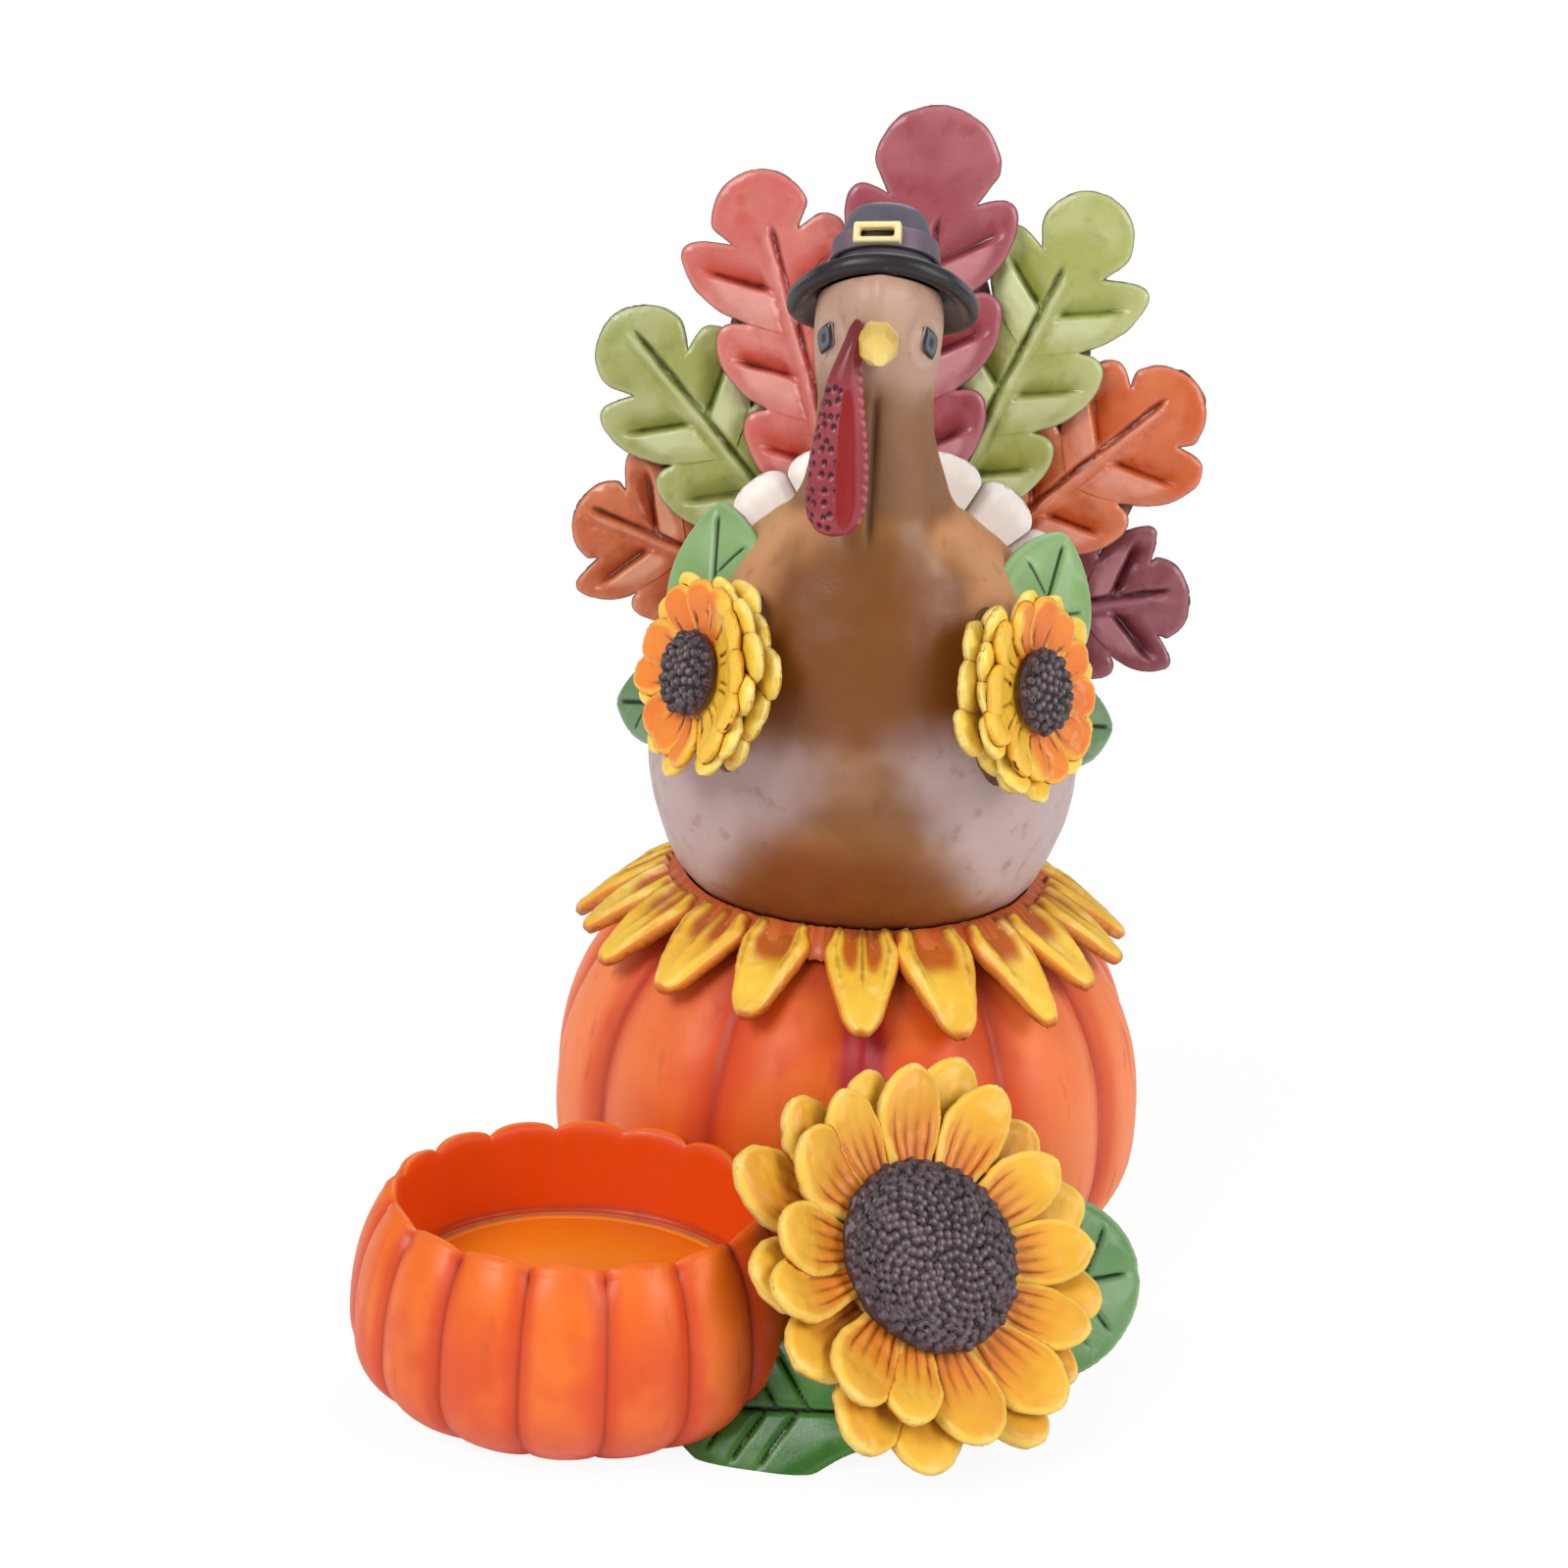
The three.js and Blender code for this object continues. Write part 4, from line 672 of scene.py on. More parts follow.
def collar_relief(middle):
    def relief(share, side, edge):
        fade = 1 - ease(share, 0.4, 0.9)
        prongs = np.maximum(ridge(np.abs(side) - 0.7, 0.2), middle * ridge(side, 0.15))
        hollow = (1 - prongs) * (1 - ease(np.abs(side), 0.62, 0.8)) * fade
        rise = 1.3 * pillow(edge, 1.5) + 0.45 * prongs * fade - 0.9 * hollow * ease(share, 0.75, 0.25)
        # Brown wash and painted shade lie in the hollow between the prongs and at the root under the ring.
        root_wash_and_shade = (1 - ease(share, 0.04, 0.24)) * (1 - 0.8 * prongs)
        wash = np.maximum(hollow * ease(share, 0.62, 0.2), root_wash_and_shade)
        return rise, wash, np.maximum(1 - ease(edge, 0.05, 0.5), 0.9 * ease(share, 0.86, 1.0))

    return relief


def shield_half(share, half):
    root = between(0.84, 1, ease(share, 0, 0.22))
    taper = 1 - 0.64 * np.clip((share - 0.22) / 0.78, 0, 1) ** 1.35
    return half * root * taper * np.sqrt(1 - 0.92 * np.clip((share - 0.84) / 0.16, 0, 1) ** 2)


def collar_petal(length, width, middle):
    def half(share, side):
        return shield_half(share, width / 2)

    piece = blade(0.5, length, 52, 36, half, straight, PETAL_THICKNESS, collar_relief(middle))
    at = spots(piece)
    flare = PETAL_FLARE * (at[:, 1] / 15) ** 2
    radius, height = on_shoulder(at[:, 1], at[:, 2] + PETAL_THICKNESS + 2 * GLUE_GAP + flare)
    push(piece, "Y", -radius - at[:, 1])
    push(piece, "Z", height - at[:, 2])
    return piece


# %% [markdown]
# The petals of one collar are alike, not copies. So the petal is made anew for each place, longer or
# shorter, wider or narrower, and a little turned, by a seeded hand. Then petals and ring are fused into
# one casting.

# %% Set the petals round and fuse them with the hatched ring
COLLAR_PETALS = 18
hand = random.Random(5)
ring_line = [(2.2, 0.6), (4.0, 0.6), (4.4, 1.0), (4.0, 1.6), (2.8, 2.0), (1.5, 2.2), (0.2, 2.4)]
ring_spots = [(19.0, 49.5), (22.8, 49.5)]
ring_spots += [on_shoulder(run, lift) for run, lift in ring_line]
ring_spots += [(22.4, 52.0), (19.0, 52.3)]
collar = stack("collar", round_profile(ring_spots), 360, loop=True)
around = spots(collar)
turn = np.radians(bearing_of(around))
hatch = 0.5 + 0.5 * np.sin(turn * 96 + 9 * np.sin(turn * 7) + 0.8 * around[:, 2])
push(collar, "NORMAL", -0.3 * hatch * ease(around[:, 2], 46.0, 48.0))
for name, value in (("side", 0), ("share", 0), ("rim", 0), ("front", 1), ("wash", hatch), ("hatch", 1)):
    mark(collar, name, value)
castings = [collar]
for k in range(COLLAR_PETALS):
    petal = collar_petal(hand.uniform(12.6, 16.4), hand.uniform(7.6, 10.2), hand.choice((0, 0, 0.8)))
    mark(petal, "hatch", 0)
    settle(petal, turned_by(360 / COLLAR_PETALS * k + hand.uniform(-3, 3)))
    castings.append(petal)
collar = fuse(castings)
hand_worked(collar, 2.4, 0.35)
print("collar points:", len(collar.data.vertices))

# %% [markdown]
# ## The turkey
# Body, neck and head are one casting. It is a stack of ovals whose half widths and centres are read at a
# few heights, with smooth rings between. A peg under the foot sits in the pumpkin's socket. Each row
# below is a height and then the width, the front and the back there, as shares of the full sizes. The
# neck's front is one straight line, so its rows have none.

# %% Stack the body, neck and head
BODY_FOOT, BODY_RISE, BODY_HALF, BODY_FRONT, BODY_BACK = 49.3, 53, 27.5, -31, 27.5
NECK_FOOT, NECK_RISE, NECK_HALF, NECK_FRONT, NECK_BACK, NAPE = 102.3, 17, 7.3, -26.1, -11.1, 4.5
CHIN, HEAD_RISE, HEAD_HALF, HEAD_MIDDLE, HEAD_DEPTH, HEAD_SHIFT = 119.3, 17, 7.7, -18.09, 9, -0.8
BODY = [(0, 0.709, 0.68, 0.74), (0.05, 0.83, 0.8, 0.86), (0.15, 0.93, 0.9, 0.95), (0.29, 1, 0.97, 1),
        (0.43, 1, 1, 0.99), (0.58, 0.94, 1, 0.9), (0.73, 0.83, 0.97, 0.73), (0.86, 0.68, 0.92, 0.5),
        (0.96, 0.49, 0.885, 0.2)]
NECK = [(0.14, 1.32, 1), (0.5, 1.05, 0.13), (0.9, 0.97, -0.07)]
HEAD = [(0.2, 1, 1, 0.85), (0.5, 1.02, 0.98, 1), (0.78, 0.86, 0.84, 0.9), (1, 0.42, 0.3, 0.5)]


def oval(shift, z, half, front, back):
    return (shift, (front + back) / 2, z, half, (back - front) / 2)


ovals = []
for s, wide, front, back in BODY:
    ovals.append(oval(0, BODY_FOOT + BODY_RISE * s, BODY_HALF * wide, BODY_FRONT * front, BODY_BACK * back))
for s, wide, back in NECK:
    height = NECK_FOOT + NECK_RISE * s
    ovals.append(oval(HEAD_SHIFT * s, height, NECK_HALF * wide, NECK_FRONT, NECK_BACK + NAPE * back))
for s, wide, front, back in HEAD:
    face_line, nape_line = HEAD_MIDDLE - HEAD_DEPTH * front, HEAD_MIDDLE + HEAD_DEPTH * back
    ovals.append(oval(HEAD_SHIFT, CHIN + HEAD_RISE * s, HEAD_HALF * wide, face_line, nape_line))


def turkey_spot(height, bearing):
    heights = [ring[2] for ring in ovals]
    x, y, _, wide, deep = (np.interp(height, heights, values) for values in zip(*ovals))
    turn = math.radians(bearing)
    return Vector((x + wide * math.sin(turn), y - deep * math.cos(turn), height))


peg = [(0, 0, BODY_FOOT - PEG_LENGTH, PEG_RADIUS, PEG_RADIUS), (0, 0, BODY_FOOT, PEG_RADIUS, PEG_RADIUS)]
turkey = stack("turkey", peg + list(flowing(ovals, 110)), 176)
hand_worked(turkey, 20, 0.5)
hand_worked(turkey, 5, 0.3)
print("turkey, mm across:", np.ptp(spots(turkey), axis=0).round(1))

# %% [markdown]
# The face has a soft ridge above the beak and a shallow socket round each eye, and a thin line runs down
# the throat. They are pressed in by distance: the socket is a ring round the eye's place, and the ridge
# and the throat line are narrow strips in the middle of the front.

# %% Model the face
EYE_HEIGHT, EYE_BEARING = 125.36, 52
THROAT_DEPTH = 0.35
at = spots(turkey)
height, before = at[:, 2], at[:, 1] < -20
centre_ridge = 0.45 * ridge(at[:, 0] - HEAD_SHIFT, 1.1) * ease(height, 121, 124) * before
socket_dent = np.zeros(len(at))
for way, _ in SIDES:
    off = np.linalg.norm(at - np.array(turkey_spot(EYE_HEIGHT, way * EYE_BEARING)), axis=1)
    socket_dent += 0.5 * ridge(off - 2.6, 0.9)
throat = ridge(at[:, 0] + 0.6, 0.6) * ease(height, 98, 104) * (1 - ease(height, 117, 121)) * before
push(turkey, "NORMAL", centre_ridge - socket_dent - THROAT_DEPTH * throat)
# The throat line is painted dark brown as well, a painted shade in its groove.
mark(turkey, "throat", throat)
mark(turkey, "socket", np.clip(socket_dent * 2, 0, 1))
print("deepest socket, mm:", socket_dent.max().round(2))

# %% [markdown]
# The turkey is airbrushed: tan shoulders, an ochre-brown breast with a soft lower edge, a pale mauve band
# below it, grey-lavender flanks that meet in an arch and are a painted sheen, and brown again at the foot.
# Each zone is a mark by height and by how far a point is from the middle of the front.

# %% Mark the zones of the airbrush
at = spots(turkey)
height, across = at[:, 2], np.abs(at[:, 0])
breast = ease(-at[:, 1], 8, 24) * (1 - ease(across, 7, 17))
mark(turkey, "breast", breast * ease(height, 73, 80) * (1 - ease(height, 90, 108)))
band_sides = 0.45 + 0.55 * ease(across, 0, 14)
mark(turkey, "band", ease(height, 61, 68) * (1 - ease(height, 74, 79)) * band_sides)
arch = across + 0.5 * (height - 62)
# Painted sheen: pale grey-lavender on the lower flanks.
mark(turkey, "flank_sheen", ease(arch, 3, 22) * (1 - ease(height, 70, 84)) * ease(height, 46, 56))
mark(turkey, "foot", (1 - ease(height, 55, 70)) * (1 - ease(np.abs(at[:, 0] + 2), 6, 22)))
shoulder_sides = ease(across + 0.5 * at[:, 1] + 13, 3, 11)
mark(turkey, "shoulder", ease(height, 84, 97) * (1 - ease(height, 100, 107)) * shoulder_sides)
mark(turkey, "neck", ease(height, 101, 108))
turkey_paint = resin_paint(
    "turkey_paint", "845426", "a2703e", wash="4a2810", roughness=0.42, clear=0.15, seed=8, loose=0.9,
    coats=[
        ("shoulder", "d09668", 0.1, 0.9, 0.9),
        ("neck", "845b3c", 0.1, 0.9, 0.85),
        ("breast", "74400f", 0.08, 0.75, 0.95),
        ("band", "7c5745", 0.1, 0.9, 0.85),
        # Painted sheen on the flanks.
        ("flank_sheen", "bba3a2", 0.05, 0.85, 0.95),
        ("foot", "7c4018", 0.15, 0.8, 0.9),
        ("face", "b8937f", 0.1, 0.9, 0.9),
        ("socket", "cbb3a4", 0.4, 1.0, 0.3),
        # Painted shade: dark brown down the throat line.
        ("throat", "4a2c1c", 0.3, 1.0, 0.8),
        # Painted shadow: dark brown on the head under the brim.
        ("hat_shadow", "6b4636", 0.1, 1.0, 0.75),
        ("brush", "744818", 0.56, 0.78, 0.4),
    ],
)
print("mixed", turkey_paint.name)

# %% [markdown]
# The collar is cut to the turkey's foot. A cut makes new faces that know nothing of the marks beside
# them, so the strip next to the body is marked again, as part of the hatched ring. A little of the
# breast's brown lies on the collar in front, as overspray.

# %% Seat the turkey in its collar and paint the collar
carve(collar, turkey)
at = spots(collar)
by_body = off_axis(at) < 24.6
mark(collar, "hatch", np.where(by_body, 1, marked(collar, "hatch")))
# The cut faces under the body take the brown wash, a painted shade where the body overhangs the collar.
mark(collar, "wash", np.where(by_body & (marked(collar, "front") < 0.5), 1, marked(collar, "wash")))
mark(collar, "front", np.where(by_body, 1, marked(collar, "front")))
mark(collar, "overspray", ridge(bearing_of(at) - 6, 15) * (1 - ease(off_axis(at), 23.5, 28)))
collar_paint = resin_paint(
    "collar_paint", "f0c445", "e9b23a", roughness=0.38, seed=5,
    coats=[
        ("brush", "f6dc7e", 0.56, 0.74, 0.6),
        # Painted shade: dark brown in the creases between petals and ring.
        ("crease", "7a3410", 0.14, 0.5, 0.8),
        ("rim", "d9702a", 0.35, 0.9, 0.8),
        # Brown wash and painted shade in the hollows, at the roots and in the hatch grooves.
        ("wash", "b04816", 0.2, 0.85, 0.9),
        ("hatch", "bf5328", 0.4, 0.6, 0.9),
        # Painted shade: orange-brown on the undersides and cut walls of the petals.
        ("front", "b8641e", 0.7, 0.3, 0.85),
        ("overspray", "80441c", 0.2, 0.85, 0.8),
    ],
)
hand_over(collar, "petal_collar", collar_paint)

# %% [markdown]
# ## The pilgrim hat
# The hat is turned from its profile: underside, brim, a small fillet, the crown and its rounded top. The
# brim then droops at both sides. The hat leans back on the head.

# %% Turn the hat
HAT_PLACE = moved_by(-0.4, -14.4, 130.52) @ turned_by(-30, "X")
BRIM_RADIUS, BRIM_DROOP = 11.6, 1.6
underside = [(0.3, -1.5), (6, -1.5), (8.6, -1.8), (10, -2.4)]
brim = [(10.9, -2.5), (11.5, -2.0), (11.75, -1.15), (11.5, -0.35), (10.7, 0.1), (8.8, 0.15), (7.4, 0.3)]
crown = [(6.6, 0.8), (6.2, 1.6), (5.85, 3.4), (5.5, 5.76), (5.15, 7.6)]
crown_top = [(4.75, 8.6), (4.1, 9.25), (3.0, 9.52), (1.5, 9.6), (0.3, 9.6)]


def droop(at):
    return BRIM_DROOP * (at[:, 0] / BRIM_RADIUS) ** 2


hat = stack("hat", round_profile(underside + brim + crown + crown_top, 84), 128)
at = spots(hat)
radius = off_axis(at)
brim_groove = 0.12 * ridge(radius - 9.4, 0.9) * (at[:, 2] > -0.3)
push(hat, "Z", -droop(at) * ease(radius, 4.5, 8) - brim_groove)
at = spots(hat)
# The brim's underside is painted near-black, a painted shade.
mark(hat, "under_brim_shade", at[:, 2] + droop(at) < -1.2)
mark(hat, "brim_top", ease(radius, 6.4, 7.4) * (at[:, 2] > -2.2))
mark(hat, "rim", ease(radius, 10.2, 11.2))
# The brim's ends are painted a lighter grey, a painted light.
mark(hat, "side", ease(np.abs(at[:, 0]), 4, 11))
hand_worked(hat, 6, 0.18)
settle(hat, HAT_PLACE)
print("hat, mm across:", np.ptp(spots(hat), axis=0).round(1))

# %% [markdown]
# The head is cut to the hat's underside by a plain tool of the same droop. The face and the painted shadow
# of the brim on the head are marked after that cut, because it makes the points that they lie on. Then
# turkey and hat are done.

# %% Cut the head to the hat, and paint the hat
room_profile = [(2, -1.5), (8.6, -1.8), (10, -2.4), (13, -2.4), (13, 16)]
head_room = stack("head_room", round_profile(room_profile, 40), 64)
at = spots(head_room)
push(head_room, "Z", -droop(at) * ease(off_axis(at), 4.5, 8))
settle(head_room, HAT_PLACE)
carve(turkey, head_room)
bpy.data.objects.remove(head_room)
at = spots(turkey)
in_hat = (np.c_[at * MM, np.ones(len(at))] @ np.array(HAT_PLACE.inverted()).T)[:, 2] / MM
mark(turkey, "face", ease(at[:, 2], 116, 124))
# The painted shadow of the brim lies on the head just under the hat.
mark(turkey, "hat_shadow", ease(in_hat, -3.4, -2.0) * (at[:, 2] > 120))
hand_over(turkey, "turkey_body", turkey_paint)
hat_paint = resin_paint(
    "hat_paint", "544f5a", "645f6a", wash="17131a", roughness=0.42, clear=0.2, seed=2,
    coats=[
        ("brim_top", "29262d", 0.2, 0.9, 0.9),
        ("rim", "17141a", 0.2, 0.8, 0.9),
        # Painted light: lighter blue-grey at the brim's ends.
        ("side", "5d5e69", 0.55, 1.0, 0.75),
        # Painted shade: near-black under the brim.
        ("under_brim_shade", "1d1618", 0.3, 0.7, 0.95),
        ("brush", "84808c", 0.62, 0.8, 0.4),
    ],
)
hand_over(hat, "hat", hat_paint)

# %% [markdown]
# The band is a thin sleeve on the crown, a loop of four rings with its edges rounded by Bevel. It is
# subdivided, so that its paint can tell the dark slot behind the buckle from the rest.

# %% Fit the band
BUCKLE_TURN = -9
BAND_LOW, BAND_HIGH = 2.6, 5.4


def crown_radius(height):
    return between(6.2, 4.9, height / 9.6) + 0.12


low, high = crown_radius(BAND_LOW), crown_radius(BAND_HIGH)
sleeve = [(low + 0.25, BAND_LOW), (low + 0.9, BAND_LOW), (high + 0.9, BAND_HIGH), (high + 0.25, BAND_HIGH)]
band = stack("band", round_profile(sleeve), 144, loop=True)
finish_with(band, "BEVEL", width=0.22 * MM, segments=3, limit_method="ANGLE")
pick(band)
bpy.ops.object.mode_set(mode="EDIT")
bpy.ops.mesh.select_all(action="SELECT")
bpy.ops.mesh.subdivide(number_cuts=2)
bpy.ops.object.mode_set(mode="OBJECT")
at = spots(band)
mark(band, "side", ease(np.abs(at[:, 0]), 2, 6))
mark(band, "slot", (np.abs(at[:, 0]) < 2.4) * (np.abs(at[:, 2] - 4) < 1.1) * (at[:, 1] < 0))
settle(band, HAT_PLACE @ turned_by(BUCKLE_TURN))
carve(band, hat, 0.05)
band_paint = resin_paint(
    "band_paint", "74606c", "80697a", wash="2a2028", seed=4,
    coats=[
        ("side", "57505c", 0.3, 1.0, 0.7),
        ("brush", "948090", 0.6, 0.8, 0.4),
        ("slot", "14100f", 0.3, 0.7, 1.0),
    ],
)

# %% [markdown]
# The buckle is a plane with an inset: the middle face goes, the frame that is left is extruded, and Bevel
# rounds it. A cube with a hole would do too, but the inset keeps the frame even on all four sides.

# %% Frame the buckle
pick()
bpy.ops.mesh.primitive_plane_add(size=MM)
buckle = bpy.context.object
bpy.ops.object.mode_set(mode="EDIT")
bpy.ops.transform.resize(value=(5.8, 2.7, 1))
bpy.ops.mesh.inset(thickness=0.8 * MM, depth=0)
bpy.ops.mesh.delete(type="FACE")
bpy.ops.mesh.select_all(action="SELECT")
bpy.ops.mesh.extrude_region_move(TRANSFORM_OT_translate={"value": (0, 0, 1.7 * MM)})
bpy.ops.mesh.select_all(action="SELECT")
bpy.ops.mesh.normals_make_consistent(inside=False)
bpy.ops.object.mode_set(mode="OBJECT")
finish_with(buckle, "BEVEL", width=0.38 * MM, segments=4, limit_method="ANGLE")
# The frame's sides down to the band are painted darker brown, a painted shade.
mark(buckle, "depth", 1 - ease(spots(buckle)[:, 2], 0.2, 1.4))
settle(buckle, HAT_PLACE @ turned_by(BUCKLE_TURN) @ moved_by(0, -6.05, 4) @ turned_by(90, "X"))
carve(buckle, band, 0.1)
hand_over(band, "hat_band", band_paint)
# Darker brown towards the band is painted shade, and the crests get dry brush and painted highlight.
buckle_paint = resin_paint(
    "buckle_paint", "efd996", "e6c878", [("depth", "8a6428", 0.35, 1.0, 0.85)],
    wash="5a3c14", dry_brush_highlight="f8eac0", roughness=0.34, seed=6,
)
hand_over(buckle, "hat_buckle", buckle_paint)

# %% [markdown]
# ## Beak, snood and eyes
# The beak is a short cone of eight facets that droops to its tip, like a cut stone. A cone primitive has
# one slope only, so it is a stack of four small rings. It is cut to the head that it sits on.

# %% Cut the beak
BEAK_SPOT, BEAK_RADIUS = turkey_spot(125.76, 0), 2.7
facets = [(-2.5, 1, 0), (2.4, 1.0, 0), (4.9, 0.74, -0.25), (6.6, 0.34, -0.95)]
beak_rings = [(0, drop, out, BEAK_RADIUS * size, BEAK_RADIUS * size) for out, size, drop in facets]
beak = stack("beak", beak_rings, 8)
finish_with(beak, "BEVEL", width=0.1 * MM, segments=2, limit_method="ANGLE", angle_limit=math.radians(12))
at = spots(beak)
mark(beak, "tip", ease(at[:, 2], 3, 6.5))
# The underside of the beak is painted darker ochre, a painted shade.
mark(beak, "below", ease(-at[:, 1], 0.2, 2.6))
settle(beak, facing(BEAK_SPOT, 0, 0) @ turned_by(22.5))
carve(beak, turkey)
# Painted shade on the beak's underside, dry brush and painted highlight on its crests.
beak_paint = resin_paint(
    "beak_paint", "d6b148", "cca43c", dry_brush_highlight="f2e0a0", roughness=0.38, clear=0.15,
    coats=[("below", "ad7c28", 0.1, 0.9, 0.8), ("tip", "ecd07a", 0.2, 1.0, 0.4)],
)
hand_over(beak, "beak", beak_paint, crease=16)

# %% [markdown]
# The snood is a flap that starts beside the beak and hangs in front of the neck. It is a stack of ovals
# along a bent line. Its left side is pitted, a row of beads runs down the right, and a smooth red stripe
# lies between.

# %% Hang the snood
snood_rings = [
    (-3.3, -27.6, 128.4, 0.3, 0.6), (-3.4, -28.0, 127.6, 0.75, 1.4), (-3.6, -28.7, 126.4, 1.0, 1.9),
    (-4.0, -29.7, 124.6, 1.35, 1.8), (-4.4, -30.5, 122, 1.95, 1.75), (-4.6, -30.75, 118, 2.7, 2.0),
    (-4.65, -30.45, 114, 3.3, 2.4), (-4.7, -30.4, 110, 3.7, 2.65), (-4.8, -30.9, 106.6, 3.65, 2.65),
    (-4.85, -31.3, 104.5, 3.0, 2.3), (-4.85, -31.45, 103.4, 2.0, 1.7), (-4.85, -31.5, 102.95, 0.7, 0.7),
]
snood_fine = flowing(snood_rings, 96)
snood = stack("snood", snood_fine, 96)


def on_snood(height, bearing):
    line = snood_fine[::-1]
    x, y, wide, deep = (np.interp(height, line[:, 2], line[:, i]) for i in (0, 1, 3, 4))
    return (x + wide * math.sin(math.radians(bearing)), y - deep * math.cos(math.radians(bearing)), height)


loose_hand = random.Random(11)
pits = []
for row in range(12):
    for bearing in (-92, -66, -40, -16):
        pit_height = 104.3 + 1.5 * row + loose_hand.uniform(-0.35, 0.35)
        pits.append(on_snood(pit_height, bearing + 12 * (row % 2) + loose_hand.uniform(-7, 7)))
beads = [on_snood(105 + 1.3 * i, 66) for i in range(16)]
print("snood pits:", len(pits), "beads:", len(beads))

# %% Pit, bead and paint the snood
SNOOD_X, SNOOD_Y = -4.65, -30.6
at = spots(snood)
to_pit, to_bead = nearest(at, pits), nearest(at, beads)
turn = np.degrees(np.arctan2(at[:, 0] - SNOOD_X, SNOOD_Y - at[:, 1]))
tall = np.clip((at[:, 2] - 112.5) / 9.5, -1, 1)
stripe = ease(ridge(turn - 20, 30) * np.sqrt(1 - tall**2), 0.3, 0.62)
push(snood, "NORMAL", 0.3 * ridge(to_bead, 0.5) - 0.5 * ridge(to_pit, 0.4) * (1 - stripe) - 0.22 * stripe)
# Pits are painted near-black as painted shade, and beads a light pink as painted highlight.
mark(snood, "pit", ridge(to_pit, 0.46) * (1 - stripe))
mark(snood, "bead_highlight", ridge(to_bead, 0.6))
mark(snood, "stripe", stripe)
mark(snood, "height", (at[:, 2] - 103) / 25)
carve(snood, turkey)
carve(snood, beak)
snood_paint = resin_paint(
    "snood_paint", "8a2c36", "9a3c46", wash="38080e", roughness=0.38, clear=0.15, seed=9,
    coats=[
        ("brush", "aa525a", 0.56, 0.74, 0.5),
        ("height", "6a1a1e", 0.6, 0.95, 0.85),
        # Painted highlight on the beads.
        ("bead_highlight", "bd646a", 0.4, 0.9, 0.7),
        ("stripe", "860c0a", 0.2, 0.7, 1.0),
        # Painted shade in the pits.
        ("pit", "30060c", 0.2, 0.75, 0.95),
    ],
)
hand_over(snood, "snood", snood_paint)

# %% [markdown]
# The eyes are low almonds. A ball is squashed flat, drawn to a point at both ends and given a raised lid,
# and the paint finds pupil and lid by the distance from the middle.

# %% Set the eyes
EYE_HALF_WIDTH, EYE_HALF_HEIGHT, EYE_DEPTH = 1.6, 2.3, 0.9
eye_paint = resin_paint(
    "eye_paint", "565c68", "4a505c", roughness=0.24, clear=0.5,
    coats=[
        ("pupil", "15151a", 0.2, 0.6, 0.95),
        ("lid", "241c1e", 0.6, 0.78, 0.95),
        ("lid", "b39a8c", 0.92, 1.0, 0.6),
    ],
)
for way, name in SIDES:
    eye = ball(56, 32, (EYE_HALF_WIDTH, EYE_HALF_HEIGHT, EYE_DEPTH))
    at = spots(eye)
    out = np.hypot(at[:, 0] / EYE_HALF_WIDTH, at[:, 1] / EYE_HALF_HEIGHT)
    push(eye, "X", -at[:, 0] * 0.75 * (np.abs(at[:, 1]) / EYE_HALF_HEIGHT) ** 1.5)
    push(eye, "Z", -at[:, 2] * (0.45 - 0.25 * ridge(out - 0.75, 0.14)))
    mark(eye, "lid", out)
    mark(eye, "pupil", 1 - np.hypot(at[:, 0] / 0.8, at[:, 1] / 1.1))
    bearing = way * EYE_BEARING
    settle(eye, facing(turkey_spot(EYE_HEIGHT, bearing), bearing, 0) @ turned_by(way * 20))
    carve(eye, turkey, 0.05)
    hand_over(eye, "eye_" + name, eye_paint)

# %% [markdown]
# ## The tail fan
# Seven oak leaves fan out behind the turkey in four layers. An oak leaf has round lobes with narrow bays
# between them and a rounder tip on a narrow neck. The rows of the sheet lean towards the tip, so a vein
# that follows one row runs out slanting, as a real one does. Every leaf draws its own lobes a little
# larger or smaller.

# %% Outline an oak leaf
OAK_ROOT, OAK_THICKNESS, TAIL_PITCH = 0.27, 0.9, 2.4
LOBE_SIZES = np.array((1.0, 0.96, 0.88, 0.8, 0.7, 0.6))


